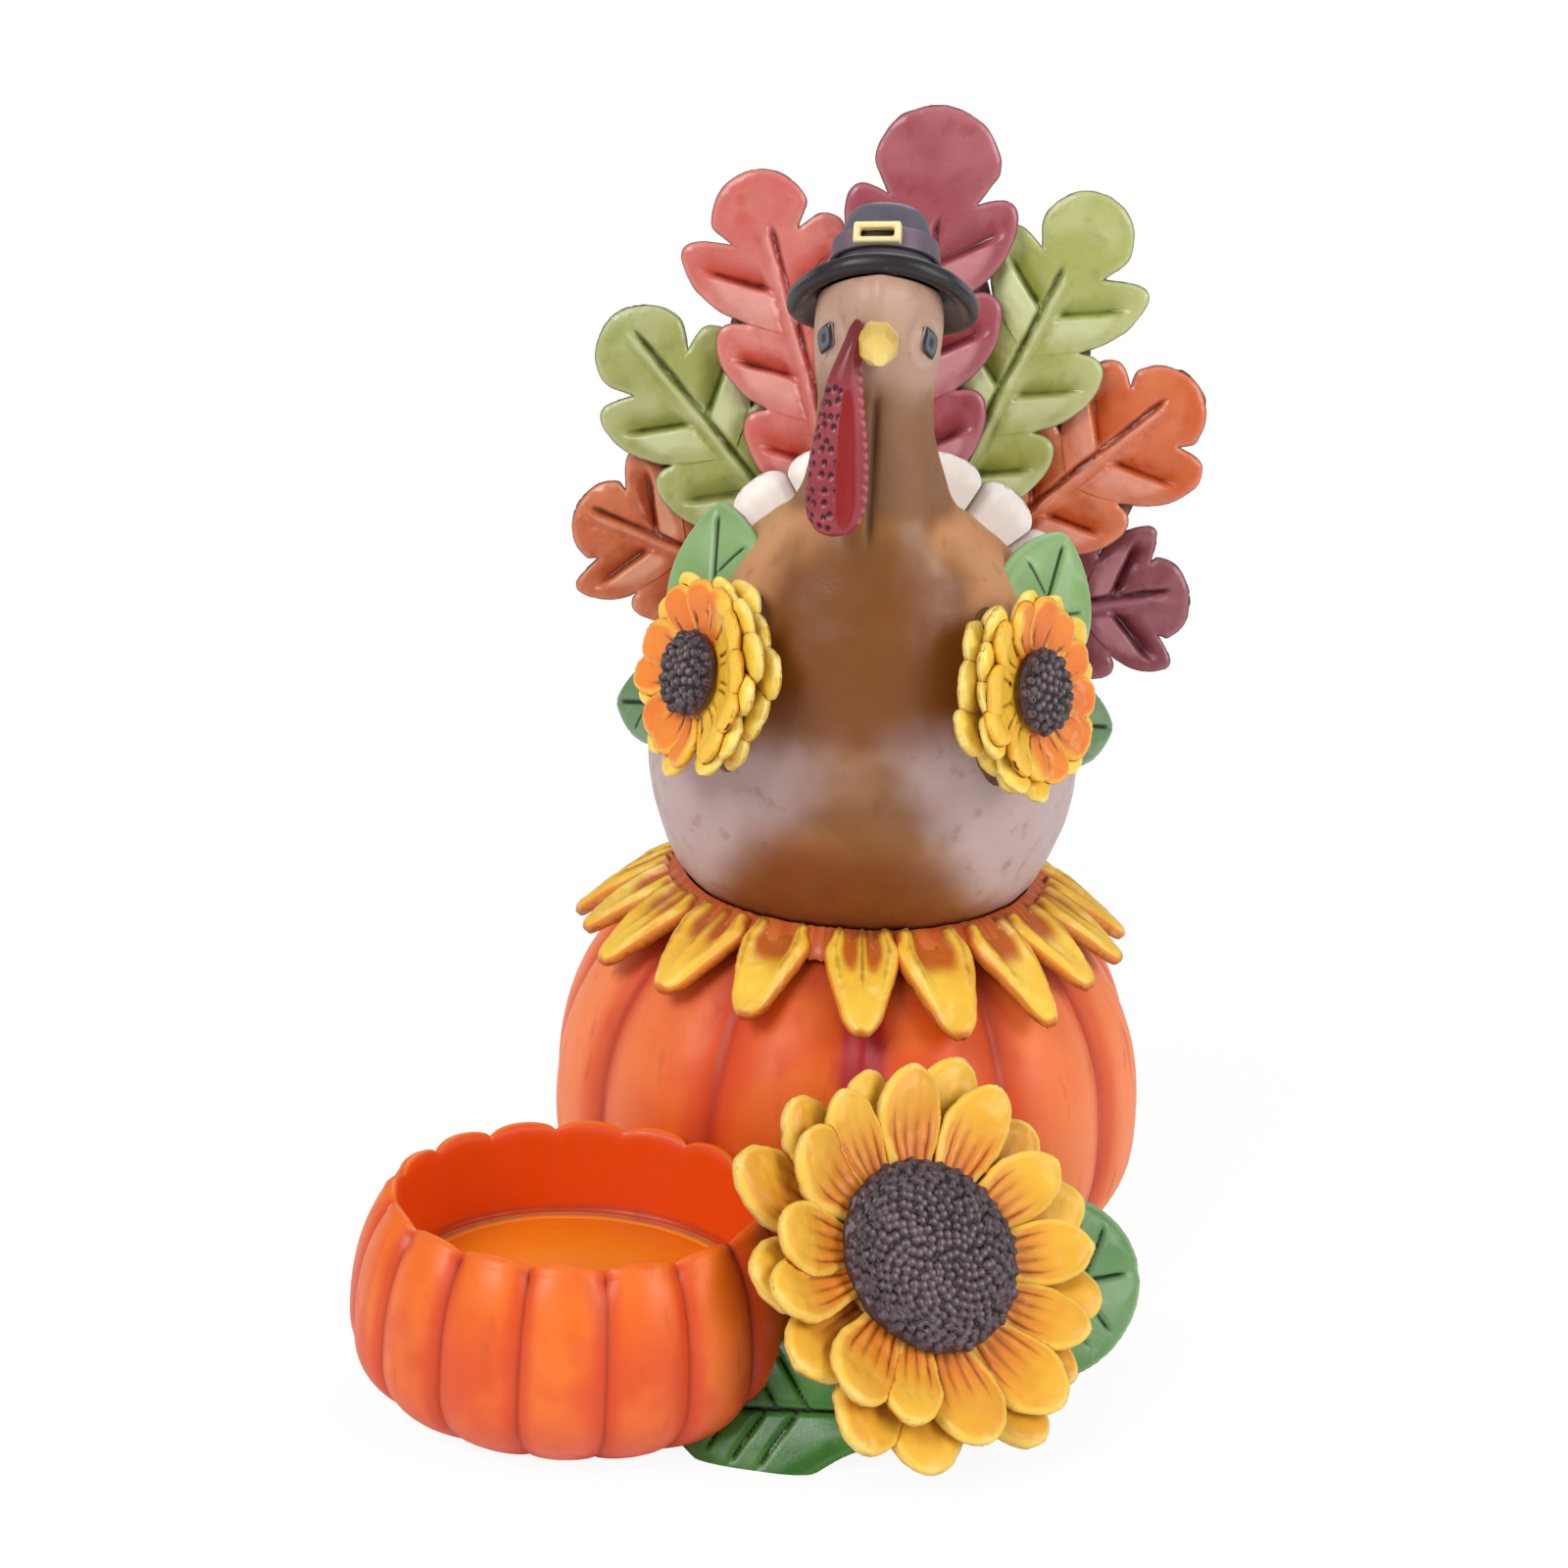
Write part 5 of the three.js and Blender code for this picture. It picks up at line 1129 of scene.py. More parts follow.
class OakOutline:
    def __init__(self, seed, turn, layer, length, reach, tip, tip_run, neck, bay, pitch, rib_stop):
        chance = random.Random(seed)
        self.turn, self.layer, self.length, self.reach = turn, layer, length, reach
        self.tip, self.bay, self.pitch = tip, bay, pitch
        self.neck, self.neck_half, self.rib_top = length - tip_run, neck * tip, length - rib_stop
        self.tip_top = min(0.97 * tip, 0.62 * tip_run)
        self.tip_low = (tip_run - self.tip_top) / math.sqrt(1 - neck**2)
        self.drift = [chance.uniform(-0.9, 0.9) for _ in range(2)]
        self.swell = np.array([[chance.uniform(0.92, 1.05) for _ in LOBE_SIZES] for _ in range(2)])
        self.press = np.array([[chance.uniform(0.75, 1.1) for _ in LOBE_SIZES] for _ in range(2)])

    def at_height(self, share):
        return self.length * between(OAK_ROOT, 1, share)

    def lobes(self, y, side):
        along = (self.neck - y + np.where(side > 0, *self.drift) * ease(self.neck - y, 0, 4)) / self.pitch
        return along, np.clip(np.floor(along), 0, 5).astype(int), (side > 0).astype(int)

    def tip_half(self, y):
        off = y - self.length + self.tip_top
        radius = np.where(off > 0, self.tip_top, self.tip_low)
        return self.tip * np.sqrt(np.clip(1 - (off / radius) ** 2, 0, None))

    def half(self, share, side):
        y = self.at_height(share)
        along, number, right = self.lobes(y, side)
        lobe = np.sqrt(np.clip(1 - (2 * np.abs(along - np.floor(along) - 0.5)) ** 2.2, 0, 1))
        size = self.reach * LOBE_SIZES[number] * self.swell[right, number]
        bay = between(self.neck_half / size, self.bay, ease(self.neck - y, 0, self.pitch))
        return np.maximum(np.where(y > self.neck, self.tip_half(y), size * between(bay, 1, lobe)), 0.3)

    def hull(self, share, side):
        y = self.at_height(share)
        full = self.reach * np.interp((self.neck - y) / self.pitch, np.arange(6) + 0.5, 1.05 * LOBE_SIZES)
        lower = between(self.neck_half, full, ease(self.neck - y, -0.1, 0.12 * self.pitch))
        return np.maximum(np.where(y > self.neck, self.tip_half(y), lower), 0.3) + 0.6

    def slant(self, share):
        top = between(self.neck, self.length, 0.66)
        return 0.6 * (1 - ease(self.at_height(share), self.neck - 1.5, top))


# %% [markdown]
# On the real leaf every lobe is two planes, as if pressed with a spatula. The plane above the vein sinks
# towards it, and the fold below the vein stands up from it. A raised midrib runs between them with a
# furrow beside it, on the side away from the light. The leaf's room is its hull, a plain blade that the
# backing is cut by.

# %% Press the relief of an oak leaf
class OakLeaf(OakOutline):
    def relief(self, share, side, edge):
        y = self.at_height(share)
        along, number, right = self.lobes(y, side)
        off = (along - np.floor(along) - 0.5) * self.pitch
        off_rib = side * self.half(share, side) * (1 if self.turn < 10 else -1)
        in_lobe = ease(np.abs(off_rib), 0.7, 2.2) * (1 - ease(np.abs(side), 0.6, 0.92)) * (along > 0)
        press = in_lobe * self.press[right, number]
        step = ease(off, -0.3, 1.0)
        sink = np.clip((off + 0.5 * self.pitch) / (0.5 * self.pitch - 0.2), 0, 1) ** 1.7
        plane = sink * (1 - step) * press
        fold = step * (1 - 0.6 * ease(off, 2.0, 0.5 * self.pitch)) * press
        rib_end = 1 - ease(y, self.rib_top - 2.5, self.rib_top)
        rib = ridge(off_rib, 0.55) * rib_end
        furrow = (ridge(off_rib - 1.0, 0.45) + 0.3 * ridge(off_rib + 1.0, 0.4)) * rib_end
        level = 0.74 + 0.2 * ease(edge, 0.8, 4.5) - 1.4 * plane + 0.55 * fold
        rise = pillow(edge, 1.5) * level + 0.3 * rib - 0.6 * furrow
        wash = np.clip(np.maximum(ridge(off + 0.1, 0.5) * press, 0.9 * furrow), 0, 1)
        # The third mark is a painted highlight on folds, rims and midrib, less a painted shade in the sunk
        # planes.
        painted_highlight = np.clip(0.95 * fold + 0.5 * (1 - ease(edge, 0.2, 1.5)) + 0.6 * rib, 0, 1)
        return np.clip(rise, -0.45, 1.35), wash, painted_highlight - 0.95 * plane

    def cut(self):
        start = OAK_ROOT * self.length
        return blade(start, self.length, 220, 72, self.half, self.slant, OAK_THICKNESS, self.relief)

    def room(self):
        start, end = OAK_ROOT * self.length - 0.6, self.length + 0.6
        return plain_blade(start, end, 60, 24, self.hull, self.slant, 2.7)


# %% [markdown]
# A leaf is given by its turn from upright, its layer from the front, its length, how far its lobes reach,
# and then by its tip: its half width, its run, and how narrow its neck is. `bay` is how deep the bays go,
# `pitch` the step from lobe to lobe, and `rib_stop` how far from the tip the midrib ends.

# %% Plan the fan
TAIL_PLACE = facing((1, 17.2, 78.0), 0, 6)
TAIL = {
    "middle": OakLeaf(0, turn=4.3, layer=0, length=70.9, reach=11.6, tip=8.3, tip_run=15.6,
                      neck=0.71, bay=0.52, pitch=12.6, rib_stop=14),
    "left_upper": OakLeaf(1, turn=-18.2, layer=1, length=64.2, reach=11.4, tip=6.5, tip_run=11.4,
                          neck=0.7, bay=0.5, pitch=11.8, rib_stop=7),
    "right_upper": OakLeaf(2, turn=24.6, layer=1, length=66, reach=11.2, tip=6.3, tip_run=12.6,
                           neck=0.74, bay=0.5, pitch=11.8, rib_stop=10.5),
    "left_middle": OakLeaf(3, turn=-42.2, layer=2, length=55.4, reach=11.2, tip=6.6, tip_run=12.6,
                           neck=0.74, bay=0.55, pitch=11.8, rib_stop=2.2),
    "right_middle": OakLeaf(4, turn=48.6, layer=2, length=54.4, reach=10.8, tip=6.2, tip_run=10.0,
                            neck=0.83, bay=0.55, pitch=11.2, rib_stop=3.5),
    "left_lower": OakLeaf(5, turn=-70.4, layer=3, length=44.0, reach=10.2, tip=5.6, tip_run=8.0,
                          neck=0.9, bay=0.68, pitch=8.8, rib_stop=1.0),
    "right_lower": OakLeaf(6, turn=80.0, layer=3, length=42.6, reach=10.2, tip=5.6, tip_run=7.4,
                           neck=0.9, bay=0.66, pitch=8.8, rib_stop=1.5),
}


def in_tail(turn, height):
    return TAIL_PLACE @ moved_by(0, 0, height) @ turned_by(-turn)


print("leaves in the fan:", len(TAIL))

# %% [markdown]
# The leaves are glossy. Each has a ground colour, a second one in patches, a warm painted shade in the sunk
# planes, a pale painted highlight on the rims and folds, dark wash and painted shade in veins and furrows,
# and painted shade on the cut edge.

# %% Paint and fan out the seven leaves
def leaf_paint(place, ground, patches, wash, deep, pale, warm, seed):
    # The warm tone where that mark is low is painted shade, the pale coat painted highlight, and the deep
    # coats painted shade in veins, furrows and on the cut wall.
    coats = [
        ("brush", warm, 0.52, 0.74, 0.45),
        ("rim", warm, -0.1, -0.7, 0.85),
        ("rim", pale, 0.2, 0.9, 0.7),
        ("wash", wash, 0.15, 0.6, 0.8),
        ("wash", deep, 0.55, 1.0, 0.85),
        ("wall", deep, 0.3, 1.0, 0.6),
    ]
    name = place + "_leaf_paint"
    return resin_paint(name, ground, patches, coats, wash=deep, roughness=0.3, clear=0.4, seed=seed)


# Each row: ground, patches, wash, deepest painted shade, painted highlight, and a warm tone for patches and
# for painted shade.
LEAF_TONES = {
    "middle": ("9a4852", "ab5f67", "7c2630", "3e0e14", "c88c92", "86282c"),
    "left_upper": ("c6645b", "d07e73", "a02e22", "54120e", "e0a298", "bc3e28"),
    "right_upper": ("a1a65b", "b2b679", "70782a", "3a3f12", "cfd3a8", "888c30"),
    "left_middle": ("9aa057", "acb079", "6b742c", "363c14", "ccd1a6", "82883a"),
    "right_middle": ("c55a26", "d1754e", "a03a10", "521a08", "e6a08c", "c04c0a"),
    "left_lower": ("be6036", "cd7854", "8f3816", "4c1706", "e2a48a", "ae4a20"),
    "right_lower": ("7e3a46", "904f5a", "5a1c28", "2c080e", "b47c84", "6a1e2a"),
}
for number, (name, oak) in enumerate(TAIL.items()):
    leaf = oak.cut()
    hand_worked(leaf, 4.5, 0.6)
    settle(leaf, in_tail(oak.turn, -oak.layer * TAIL_PITCH))
    carve(leaf, turkey)
    paint = leaf_paint(name, *LEAF_TONES[name], seed=number + 1)
    hand_over(leaf, "tail_leaf_" + name, paint)

# %% [markdown]
# Behind the leaves a brown backing carries the fan. It has a tongue behind each leaf, all down to one
# back plane, fused, and cut by the room of every leaf and by the turkey's back.

# %% Build the backing
TONGUE_SHARE, BACK_PLANE, ROOM_LIFT = 0.79, -11.4, 1.5
tongues, rooms = [], []
for oak in TAIL.values():
    def tongue_half(share, side):
        return petal_half(share, oak.reach, 0.62, 0.6, 0.45)

    front = -oak.layer * TAIL_PITCH - OAK_THICKNESS - GLUE_GAP
    tongue = plain_blade(-4, TONGUE_SHARE * oak.length, 40, 24, tongue_half, straight, front - BACK_PLANE)
    settle(tongue, in_tail(oak.turn, front))
    tongues.append(tongue)
    room = oak.room()
    settle(room, in_tail(oak.turn, ROOM_LIFT - oak.layer * TAIL_PITCH))
    rooms.append(room)
backing = fuse(tongues)
carve(backing, turkey)
for room in rooms:
    carve(backing, room, 0)
    bpy.data.objects.remove(room)
backing_paint = resin_paint(
    "backing_paint", "86675a", "957668", wash="2e1c16", roughness=0.5, clear=0.08, seed=12,
    coats=[("brush", "6d5044", 0.5, 0.75, 0.6)],
)
hand_over(backing, "tail_backing", backing_paint)

# %% [markdown]
# Seven white covert feathers lie between the back and the leaves, like rounded tiles with faint ridges.
# They stand at one even step and follow the layers of the fan, so the outer ones lie further back.

# %% Lay the covert feathers
COVERT_ROOT, COVERT_TIP, COVERT_STEP, COVERT_THICKNESS, COVERT_LIFT = 13, 27, 20.5, 1.7, 1.5
COVERTS = ("left_outer", "left_middle", "left_inner", "centre", "right_inner", "right_middle", "right_outer")


def covert_half(share, side):
    fan = between(COVERT_ROOT, COVERT_TIP, share) * math.tan(math.radians(COVERT_STEP / 2))
    return (np.minimum(fan, 4.5) - 0.15) * np.sqrt(1 - 0.9 * np.clip((share - 0.8) / 0.2, 0, 1) ** 2.4)


def covert_relief(share, side, edge):
    ribs = 0.5 + 0.5 * np.cos(side * 9.5)
    tile = 1.55 * pillow(edge, 2.6) * (0.75 + 0.25 * ease(1 - share, 0, 0.25))
    rise = tile + 0.1 * ribs * ease(edge, 0.4, 1.5)
    return rise, 0.5 * (1 - ribs) * ease(edge, 0.3, 1.2), 1 - ease(edge, 0.3, 1.2)


# Grey-beige in the grooves between the ribs is wash and painted shade; crests get dry brush and painted
# highlight.
covert_paint = resin_paint(
    "covert_paint", "f1ebe4", "e8e0d8", wash="8f7a68", dry_brush_highlight="fbf8f4", roughness=0.42, clear=0.15, seed=13,
    coats=[("wash", "cbbcae", 0.3, 1.0, 0.5), ("share", "c8b4a2", 0.3, 0.0, 0.5)],
)
for number, name in enumerate(COVERTS):
    step = number - 3
    base = COVERT_LIFT - TAIL_PITCH * max(0, abs(step) - 1)
    feather = blade(COVERT_ROOT, COVERT_TIP, 40, 30, covert_half, straight, COVERT_THICKNESS, covert_relief)
    settle(feather, in_tail(COVERT_STEP * step, base + COVERT_THICKNESS))
    carve(feather, turkey)
    hand_over(feather, "covert_feather_" + name, covert_paint)

# %% [markdown]
# ## Sunflowers
# A flower is a hub with a row of petals round it. One petal is shaped like a spoon, with grooves at its
# root and a bulging tip, and its copies are turned round the hub, each a little longer, wider, rolled or
# turned. `spread` makes the petals wider than their share of the circle, so that they crowd, and `point`
# makes the tip rounder.

# %% Set a row of petals round a hub
def spoon_relief(height, grooves):
    def relief(share, side, edge):
        root = 1 - ease(share, 0.4, 0.88)
        lines = (0.5 + 0.5 * np.cos(side * grooves * np.pi)) ** 0.45
        hollow = ridge(side, 0.55) * ridge(share - 0.35, 0.22)
        tip = ridge(share - 0.8, 0.16)
        rise = height * pillow(edge, 1.0 + height) * (0.78 + 0.3 * tip) - 0.3 * height * hollow
        rise -= 0.3 * height * (1 - lines) * root * ease(edge, 0.2, 0.9)
        wash = np.clip((1 - lines) * root * ease(edge, 0.1, 0.5), 0, 1)
        return rise, wash, 1 - ease(edge, 0.2, 1.4)

    return relief


def petal_row(
    count, root, tip, base, lift, thickness, seed, relief,
    turn=0, angles=None, spread=1.0, point=0.55,
):
    chance = random.Random(seed)
    side_share = 0.97 * math.tan(math.pi / count) * spread
    wide = between(root, tip, 0.55) * side_share

    def half(share, side):
        return petal_half(share, wide, root * side_share / wide, 0.6, point)

    one = blade(root, tip, 40, 34, half, straight, 0.6 * thickness, relief)
    hand_worked(one, 3, 0.3)
    along = np.clip((spots(one)[:, 1] - root) / (tip - root), 0, 1.2)
    push(one, "Z", base + 0.6 * thickness + lift * along**2)
    if angles is None:
        angles = [turn + 360 * k / count for k in range(count)]
    row = []
    for angle in angles:
        petal = copy_of(one)
        mark(petal, "tone", chance.random())
        size = Matrix.Diagonal((chance.uniform(0.88, 1.12), chance.uniform(0.88, 1.04), 1, 1))
        roll = turned_by(chance.uniform(-4.0, 10.0), "Y")
        settle(petal, turned_by(angle + chance.uniform(-4, 4)) @ roll @ size)
        row.append(petal)
    bpy.data.objects.remove(one)
    return row


def hub(radius, low, high):
    profile = [(radius * 0.9, low), (radius, low + 0.2), (radius, high - 0.2), (radius * 0.9, high)]
    piece = stack("hub", round_profile(profile), 64)
    for name, value in (("side", 0), ("share", 0), ("rim", 0), ("tone", 0), ("wash", 1), ("front", 1)):
        mark(piece, name, value)
    return piece


# %% [markdown]
# The seed disc is a low dome. Seeds on a real sunflower stand on a spiral, each turned by the golden
# angle from the last, so the same rule places them here, with a little jitter: a small bump for every
# seed, with a pit in those near the edge. A shallow ring is pressed round the middle.

# %% Turn a seed disc
GOLDEN_ANGLE = 137.508


def seed_disc(radius, bottom, height, seeds, seed_size):
    dome = [(0.7, 0), (0.97, 0.2), (1, 0.45), (0.9, 0.76), (0.6, 0.95), (0.3, 1)]
    profile = [(radius * out, bottom + height * up) for out, up in dome] + [(0.05, bottom + height)]
    piece = stack("seeds", round_profile(profile, 84), 150)
    at = spots(piece)
    golden, chance = math.radians(GOLDEN_ANGLE), random.Random(seeds)
    reach = [radius * 0.98 * math.sqrt((i + 0.5) / seeds) for i in range(seeds)]
    spiral = [(r, i * golden + chance.uniform(-0.25, 0.25) * seed_size / r) for i, r in enumerate(reach)]
    off = nearest(at * (1, 1, 0), [(r * math.cos(a), r * math.sin(a), 0) for r, a in spiral])
    out = off_axis(at) / radius
    top = ease(at[:, 2], bottom + 0.25 * height, bottom + 0.5 * height)
    outer = ease(out, 0.55, 0.8)
    bump = ridge(off, 0.34 * seed_size)
    pit = ridge(off, 0.13 * seed_size) * outer
    gap = ease(off, 0.36 * seed_size, 0.56 * seed_size)
    push(piece, "NORMAL", top * (0.3 * bump - 0.3 * pit - 0.25 * gap) * seed_size * (0.75 + 0.25 * outer))
    push(piece, "Z", -0.14 * height * ridge(out - 0.5, 0.18) * top)
    mark(piece, "bump", bump * top * (1 - pit))
    mark(piece, "wash", np.clip(np.maximum(gap, 0.9 * pit), 0, 1))
    mark(piece, "outer", out)
    return piece


# Purple-grey on the seed bumps is a painted highlight, and near-black in the gaps and pits a painted shade.
seed_paint = resin_paint(
    "seed_paint", "45363a", "524246", roughness=0.42, clear=0.2, seed=14,
    coats=[
        ("bump", "8a7678", 0.4, 1.0, 0.8),
        ("wash", "150c0e", 0.25, 0.8, 0.9),
        ("outer", "54323a", 0.85, 1.0, 0.4),
        ("brush", "7c6a6e", 0.6, 0.78, 0.35),
    ],
)
print("mixed", seed_paint.name)

# %% [markdown]
# ## The wings
# Each wing is a brown pad with a small sunflower on it and two leaves behind. The back petals are yellow.
# The front ones are orange with yellow rims, and yellow all over on the side towards the breast. On that
# side a third row of short, chunky petals fills the space under the flower.

# %% Paint for the wings
wing_back_paint = resin_paint(
    "wing_back_petal_paint", "f2cf46", "ecbd36", dry_brush_highlight="f9e68e", roughness=0.36, clear=0.15, seed=15,
    coats=[
        ("share", "e2a02e", 0.45, 0.1, 0.6),
        ("wash", "94540f", 0.3, 0.95, 0.8),
        ("rim", "f7dd70", 0.3, 1.0, 0.5),
        # Painted shade: dark brown in the creases between petals, and ochre on undersides and walls.
        ("crease", "5a2c0a", 0.06, 0.3, 0.9),
        ("front", "a8701a", 0.6, 0.2, 0.8),
    ],
)
wing_front_paint = resin_paint(
    "wing_front_petal_paint", "ee8a30", "e8772a", roughness=0.36, clear=0.15, seed=16,
    coats=[
        ("share", "dd5c20", 0.5, 0.1, 0.75),
        ("inner", "f0c23c", 0.2, 0.8, 0.9),
        ("rim", "f3bd44", 0.3, 1.0, 0.7),
        ("wash", "8e3c10", 0.4, 1.0, 0.7),
        # Painted shade: dark brown in the creases between petals, and ochre on undersides and walls.
        ("crease", "4e1c08", 0.05, 0.25, 0.95),
        ("front", "d09228", 0.6, 0.2, 0.85),
    ],
)
# The pads are painted a darker brown than the body, so that they read as the shade under the flowers.
pad_and_shade_paint = resin_paint(
    "wing_pad_and_shade_paint", "5c3a20", "684628", wash="2a160a", roughness=0.42, seed=17,
    coats=[("brush", "3c2412", 0.5, 0.75, 0.5)],
)
print("mixed", wing_back_paint.name, wing_front_paint.name, pad_and_shade_paint.name)

# %% [markdown]
# Pad, rows and disc are modelled flat, in the wing's own frame, and then settled on the turkey's side.
# The order of the cuts is the order of gluing: the pad on the body, the back row on both, the front row
# and the seeds on top. A plain cylinder stands for the flower's room, and the leaves that come next are
# cut by it.

# %% Pads and flowers on both sides
WING_HEIGHT, WING_BEARING, WING_FACING, WING_LEAN = 82.6, 41, 56, 12
STUB_ANGLES = (-73, -45, -14, 17, 50, 80)
wing_parts = {}
for way, name in SIDES:
    place = facing(turkey_spot(WING_HEIGHT, way * WING_BEARING), way * WING_FACING, WING_LEAN)
    pad = ball(64, 40, (4.8, 11.8, 4.8), sink=2.4)
    hand_worked(pad, 4, 0.5)
    settle(pad, place)
    carve(pad, turkey)
    stub_angles = [way * 90 + angle for angle in STUB_ANGLES]
    stubs = petal_row(13, root=4.2, tip=12.6, base=0.7, lift=0.7, thickness=1.7, seed=30,
                      relief=spoon_relief(1.0, 1.0), angles=stub_angles, spread=1.5, point=0.36)
    back_row = petal_row(12, root=3.6, tip=13.2, base=2.7, lift=2.0, thickness=1.5, seed=31,
                         relief=spoon_relief(1.0, 1.0), spread=1.2, point=0.4)
    front_row = petal_row(12, root=3.6, tip=12.4, base=4.3, lift=1.5, thickness=1.3, seed=32,
                          relief=spoon_relief(0.8, 2.0), turn=15, spread=1.42, point=0.4)
    back = fuse([hub(5.6, 2.7, 4.0)] + back_row + stubs)
    front = fuse([hub(5.6, 4.3, 5.6)] + front_row)
    mark(front, "inner", ease(-way * spots(front)[:, 0], 0.5, 5.5))
    seeds = seed_disc(5.4, 5.9, 2.2, 56, 1.28)
    for piece in (back, front, seeds):
        settle(piece, place)
        hand_worked(piece, 2.2, 0.4)
    carve(back, turkey)
    carve(back, pad)
    carve(back, front, 0.1)
    carve(front, seeds, 0.1)
    hand_over(pad, "wing_pad_" + name, pad_and_shade_paint)
    hand_over(back, "wing_flower_back_petals_" + name, wing_back_paint)
    hand_over(front, "wing_flower_front_petals_" + name, wing_front_paint)
    hand_over(seeds, "wing_flower_seed_disc_" + name, seed_paint)
    room = stack("room", round_profile([(14.5, 2.4), (14.5, 15.8)]), 48)
    settle(room, place)
    wing_parts[name] = (pad, back, room)

# %% [markdown]
# The wing leaves and the leaves on the ground are plain pointed leaves: two puffed halves beside a sunk
# midrib, with a few scratched veins. A vein is a groove at a slant, so its distance is measured along a
# leaning line.

# %% Cut a pointed leaf
def pointed_leaf(length, width, thickness, point, veins, vein_depth):
    def half(share, side):
        return petal_half(share, width / 2, 0.45, 0.42, point)

    def slant(share):
        return 0.2 * (1 - share)

    def relief(share, side, edge):
        off_rib = side * half(share, side)
        rib = ridge(off_rib, 0.33) * (1 - ease(share, 0.86, 0.97))
        lines = np.zeros_like(share)
        for start, way in veins:
            off = (share - start) * length - 0.55 * np.abs(off_rib)
            line = ridge(off, 0.3) * ease(np.abs(off_rib), 0.2, 0.7) * (1 - ease(np.abs(side), 0.62, 0.82))
            lines = np.maximum(lines, line * (side * way > 0))
        puff = pillow(edge, 2.4) * (0.7 + 0.3 * ease(np.abs(side), 0.05, 0.5))
        rise = thickness * (0.55 * puff - 0.275 * rib) - vein_depth * lines
        return np.clip(rise, 0.02, None), np.maximum(rib, lines), 1 - ease(edge, 0.2, 1.2)

    piece = blade(0, length, 90, 44, half, slant, 0.45 * thickness, relief)
    push(piece, "Z", 0.45 * thickness)
    return piece


def green_paint(name, ground, patches, pale, wash, seed, roughness):
    coats = [("brush", pale, 0.55, 0.78, 0.45), ("rim", pale, 0.4, 1.0, 0.5), ("wash", wash, 0.25, 0.8, 0.95)]
    return resin_paint(name, ground, patches, coats, wash=wash, roughness=roughness, clear=0.25, seed=seed)


# %% Tuck the leaves behind the wings
UPPER_TURN = {"left": -17, "right": 33}
LOWER_TURN, LEAF_INSET = 102, 1.5
wing_leaf_paint = green_paint("wing_leaf_paint", "7fa465", "8db077", "a4c190", "2c4526", 18, 0.38)
# The lower leaves take a darker copy of the same green, partly their own colour and partly painted shade.
side_leaf_paint = green_paint("side_leaf_paint", "5f7f56", "6f8d66", "94ab8a", "223622", 19, 0.38)
for way, name in SIDES:
    pad, petals, room = wing_parts[name]
    outward = math.radians(way * WING_FACING)
    inset = Vector((math.sin(outward), -math.cos(outward), 0)) * LEAF_INSET
    upper = pointed_leaf(21, 15.5, 1.8, 0.75, [(0.42, way), (0.55, -way)], 0.35)
    origin = turkey_spot(WING_HEIGHT, way * (WING_BEARING + 13)) - inset
    settle(upper, facing(origin, way * (WING_FACING - 16), WING_LEAN + 10) @ turned_by(-UPPER_TURN[name]))
    lower = pointed_leaf(14, 10.5, 1.8, 0.75, [(0.4, 1), (0.5, -1)], 0.35)
    origin = turkey_spot(WING_HEIGHT - 5.8, way * (WING_BEARING + 19)) - inset
    settle(lower, facing(origin, way * (WING_FACING - 6), WING_LEAN) @ turned_by(-way * LOWER_TURN))
    for leaf, level, paint in ((upper, "upper", wing_leaf_paint), (lower, "lower", side_leaf_paint)):
        carve(leaf, turkey)
        carve(leaf, pad)
        carve(leaf, petals)
        carve(leaf, room, 0)
        hand_over(leaf, f"wing_leaf_{level}_{name}", paint)
    bpy.data.objects.remove(room)

# %% [markdown]
# ## The front sunflower
# The big flower leans back beside the cup on a thick stem. Its rows and disc use the same functions as
# the wings. Where petals meet the cup, the pumpkin or the ground, they are cut, as the solids are, and a
# plain cylinder keeps the candle's room over the cup free.

# %% Stack the big flower
FLOWER_SPOT, FLOWER_BEARING, FLOWER_LEAN = (8.57, -60.19, 21.3), 36, 37
FLOWER_PLACE = facing(FLOWER_SPOT, FLOWER_BEARING, FLOWER_LEAN)
HUB_RADIUS = 10.4
pick()
bpy.ops.mesh.primitive_cube_add(size=0.3, location=(0, 0, -0.15))
ground = bpy.context.object
bpy.ops.object.transform_apply(location=True)
candle_radius = WELL_RADIUS + 0.6
candle_room = stack("candle_room", round_profile([(candle_radius, CUP_FLOOR), (candle_radius, 60)]), 64)
settle(candle_room, moved_by(*CUP_AXIS))
big_row = petal_row(13, root=8.9, tip=26, base=0, lift=3, thickness=1.9, seed=41,
                    relief=spoon_relief(1.2, 5.0), spread=1.04)
big_back = fuse([hub(HUB_RADIUS, 0, 1.9)] + big_row)
big_row = petal_row(13, root=8.9, tip=23.8, base=2.2, lift=3.8, thickness=1.9, seed=42,
                    relief=spoon_relief(1.2, 5.0), turn=13.85, spread=1.08)
big_front = fuse([hub(HUB_RADIUS, 2.2, 4.1)] + big_row)
big_seeds = seed_disc(11.9, 4.4, 3.0, 330, 1.2)
for piece in (big_back, big_front, big_seeds):
    settle(piece, FLOWER_PLACE)
    hand_worked(piece, 2.6, 0.45)
for piece in (big_back, big_front):
    carve(piece, cup)
    carve(piece, candle_room, 0)
    carve(piece, pumpkin)
    carve(piece, ground, 0)
carve(big_back, big_front, 0.1)
carve(big_front, big_seeds, 0.1)
print("big flower points:", len(big_back.data.vertices), len(big_front.data.vertices))

# %% [markdown]
# The big flower's yellow differs from petal to petal, so every petal carries a tone. Orange spreads from
# the roots, and brown wash with painted shade runs in the root grooves. Undersides and cut walls are
# painted darker, as painted shade.

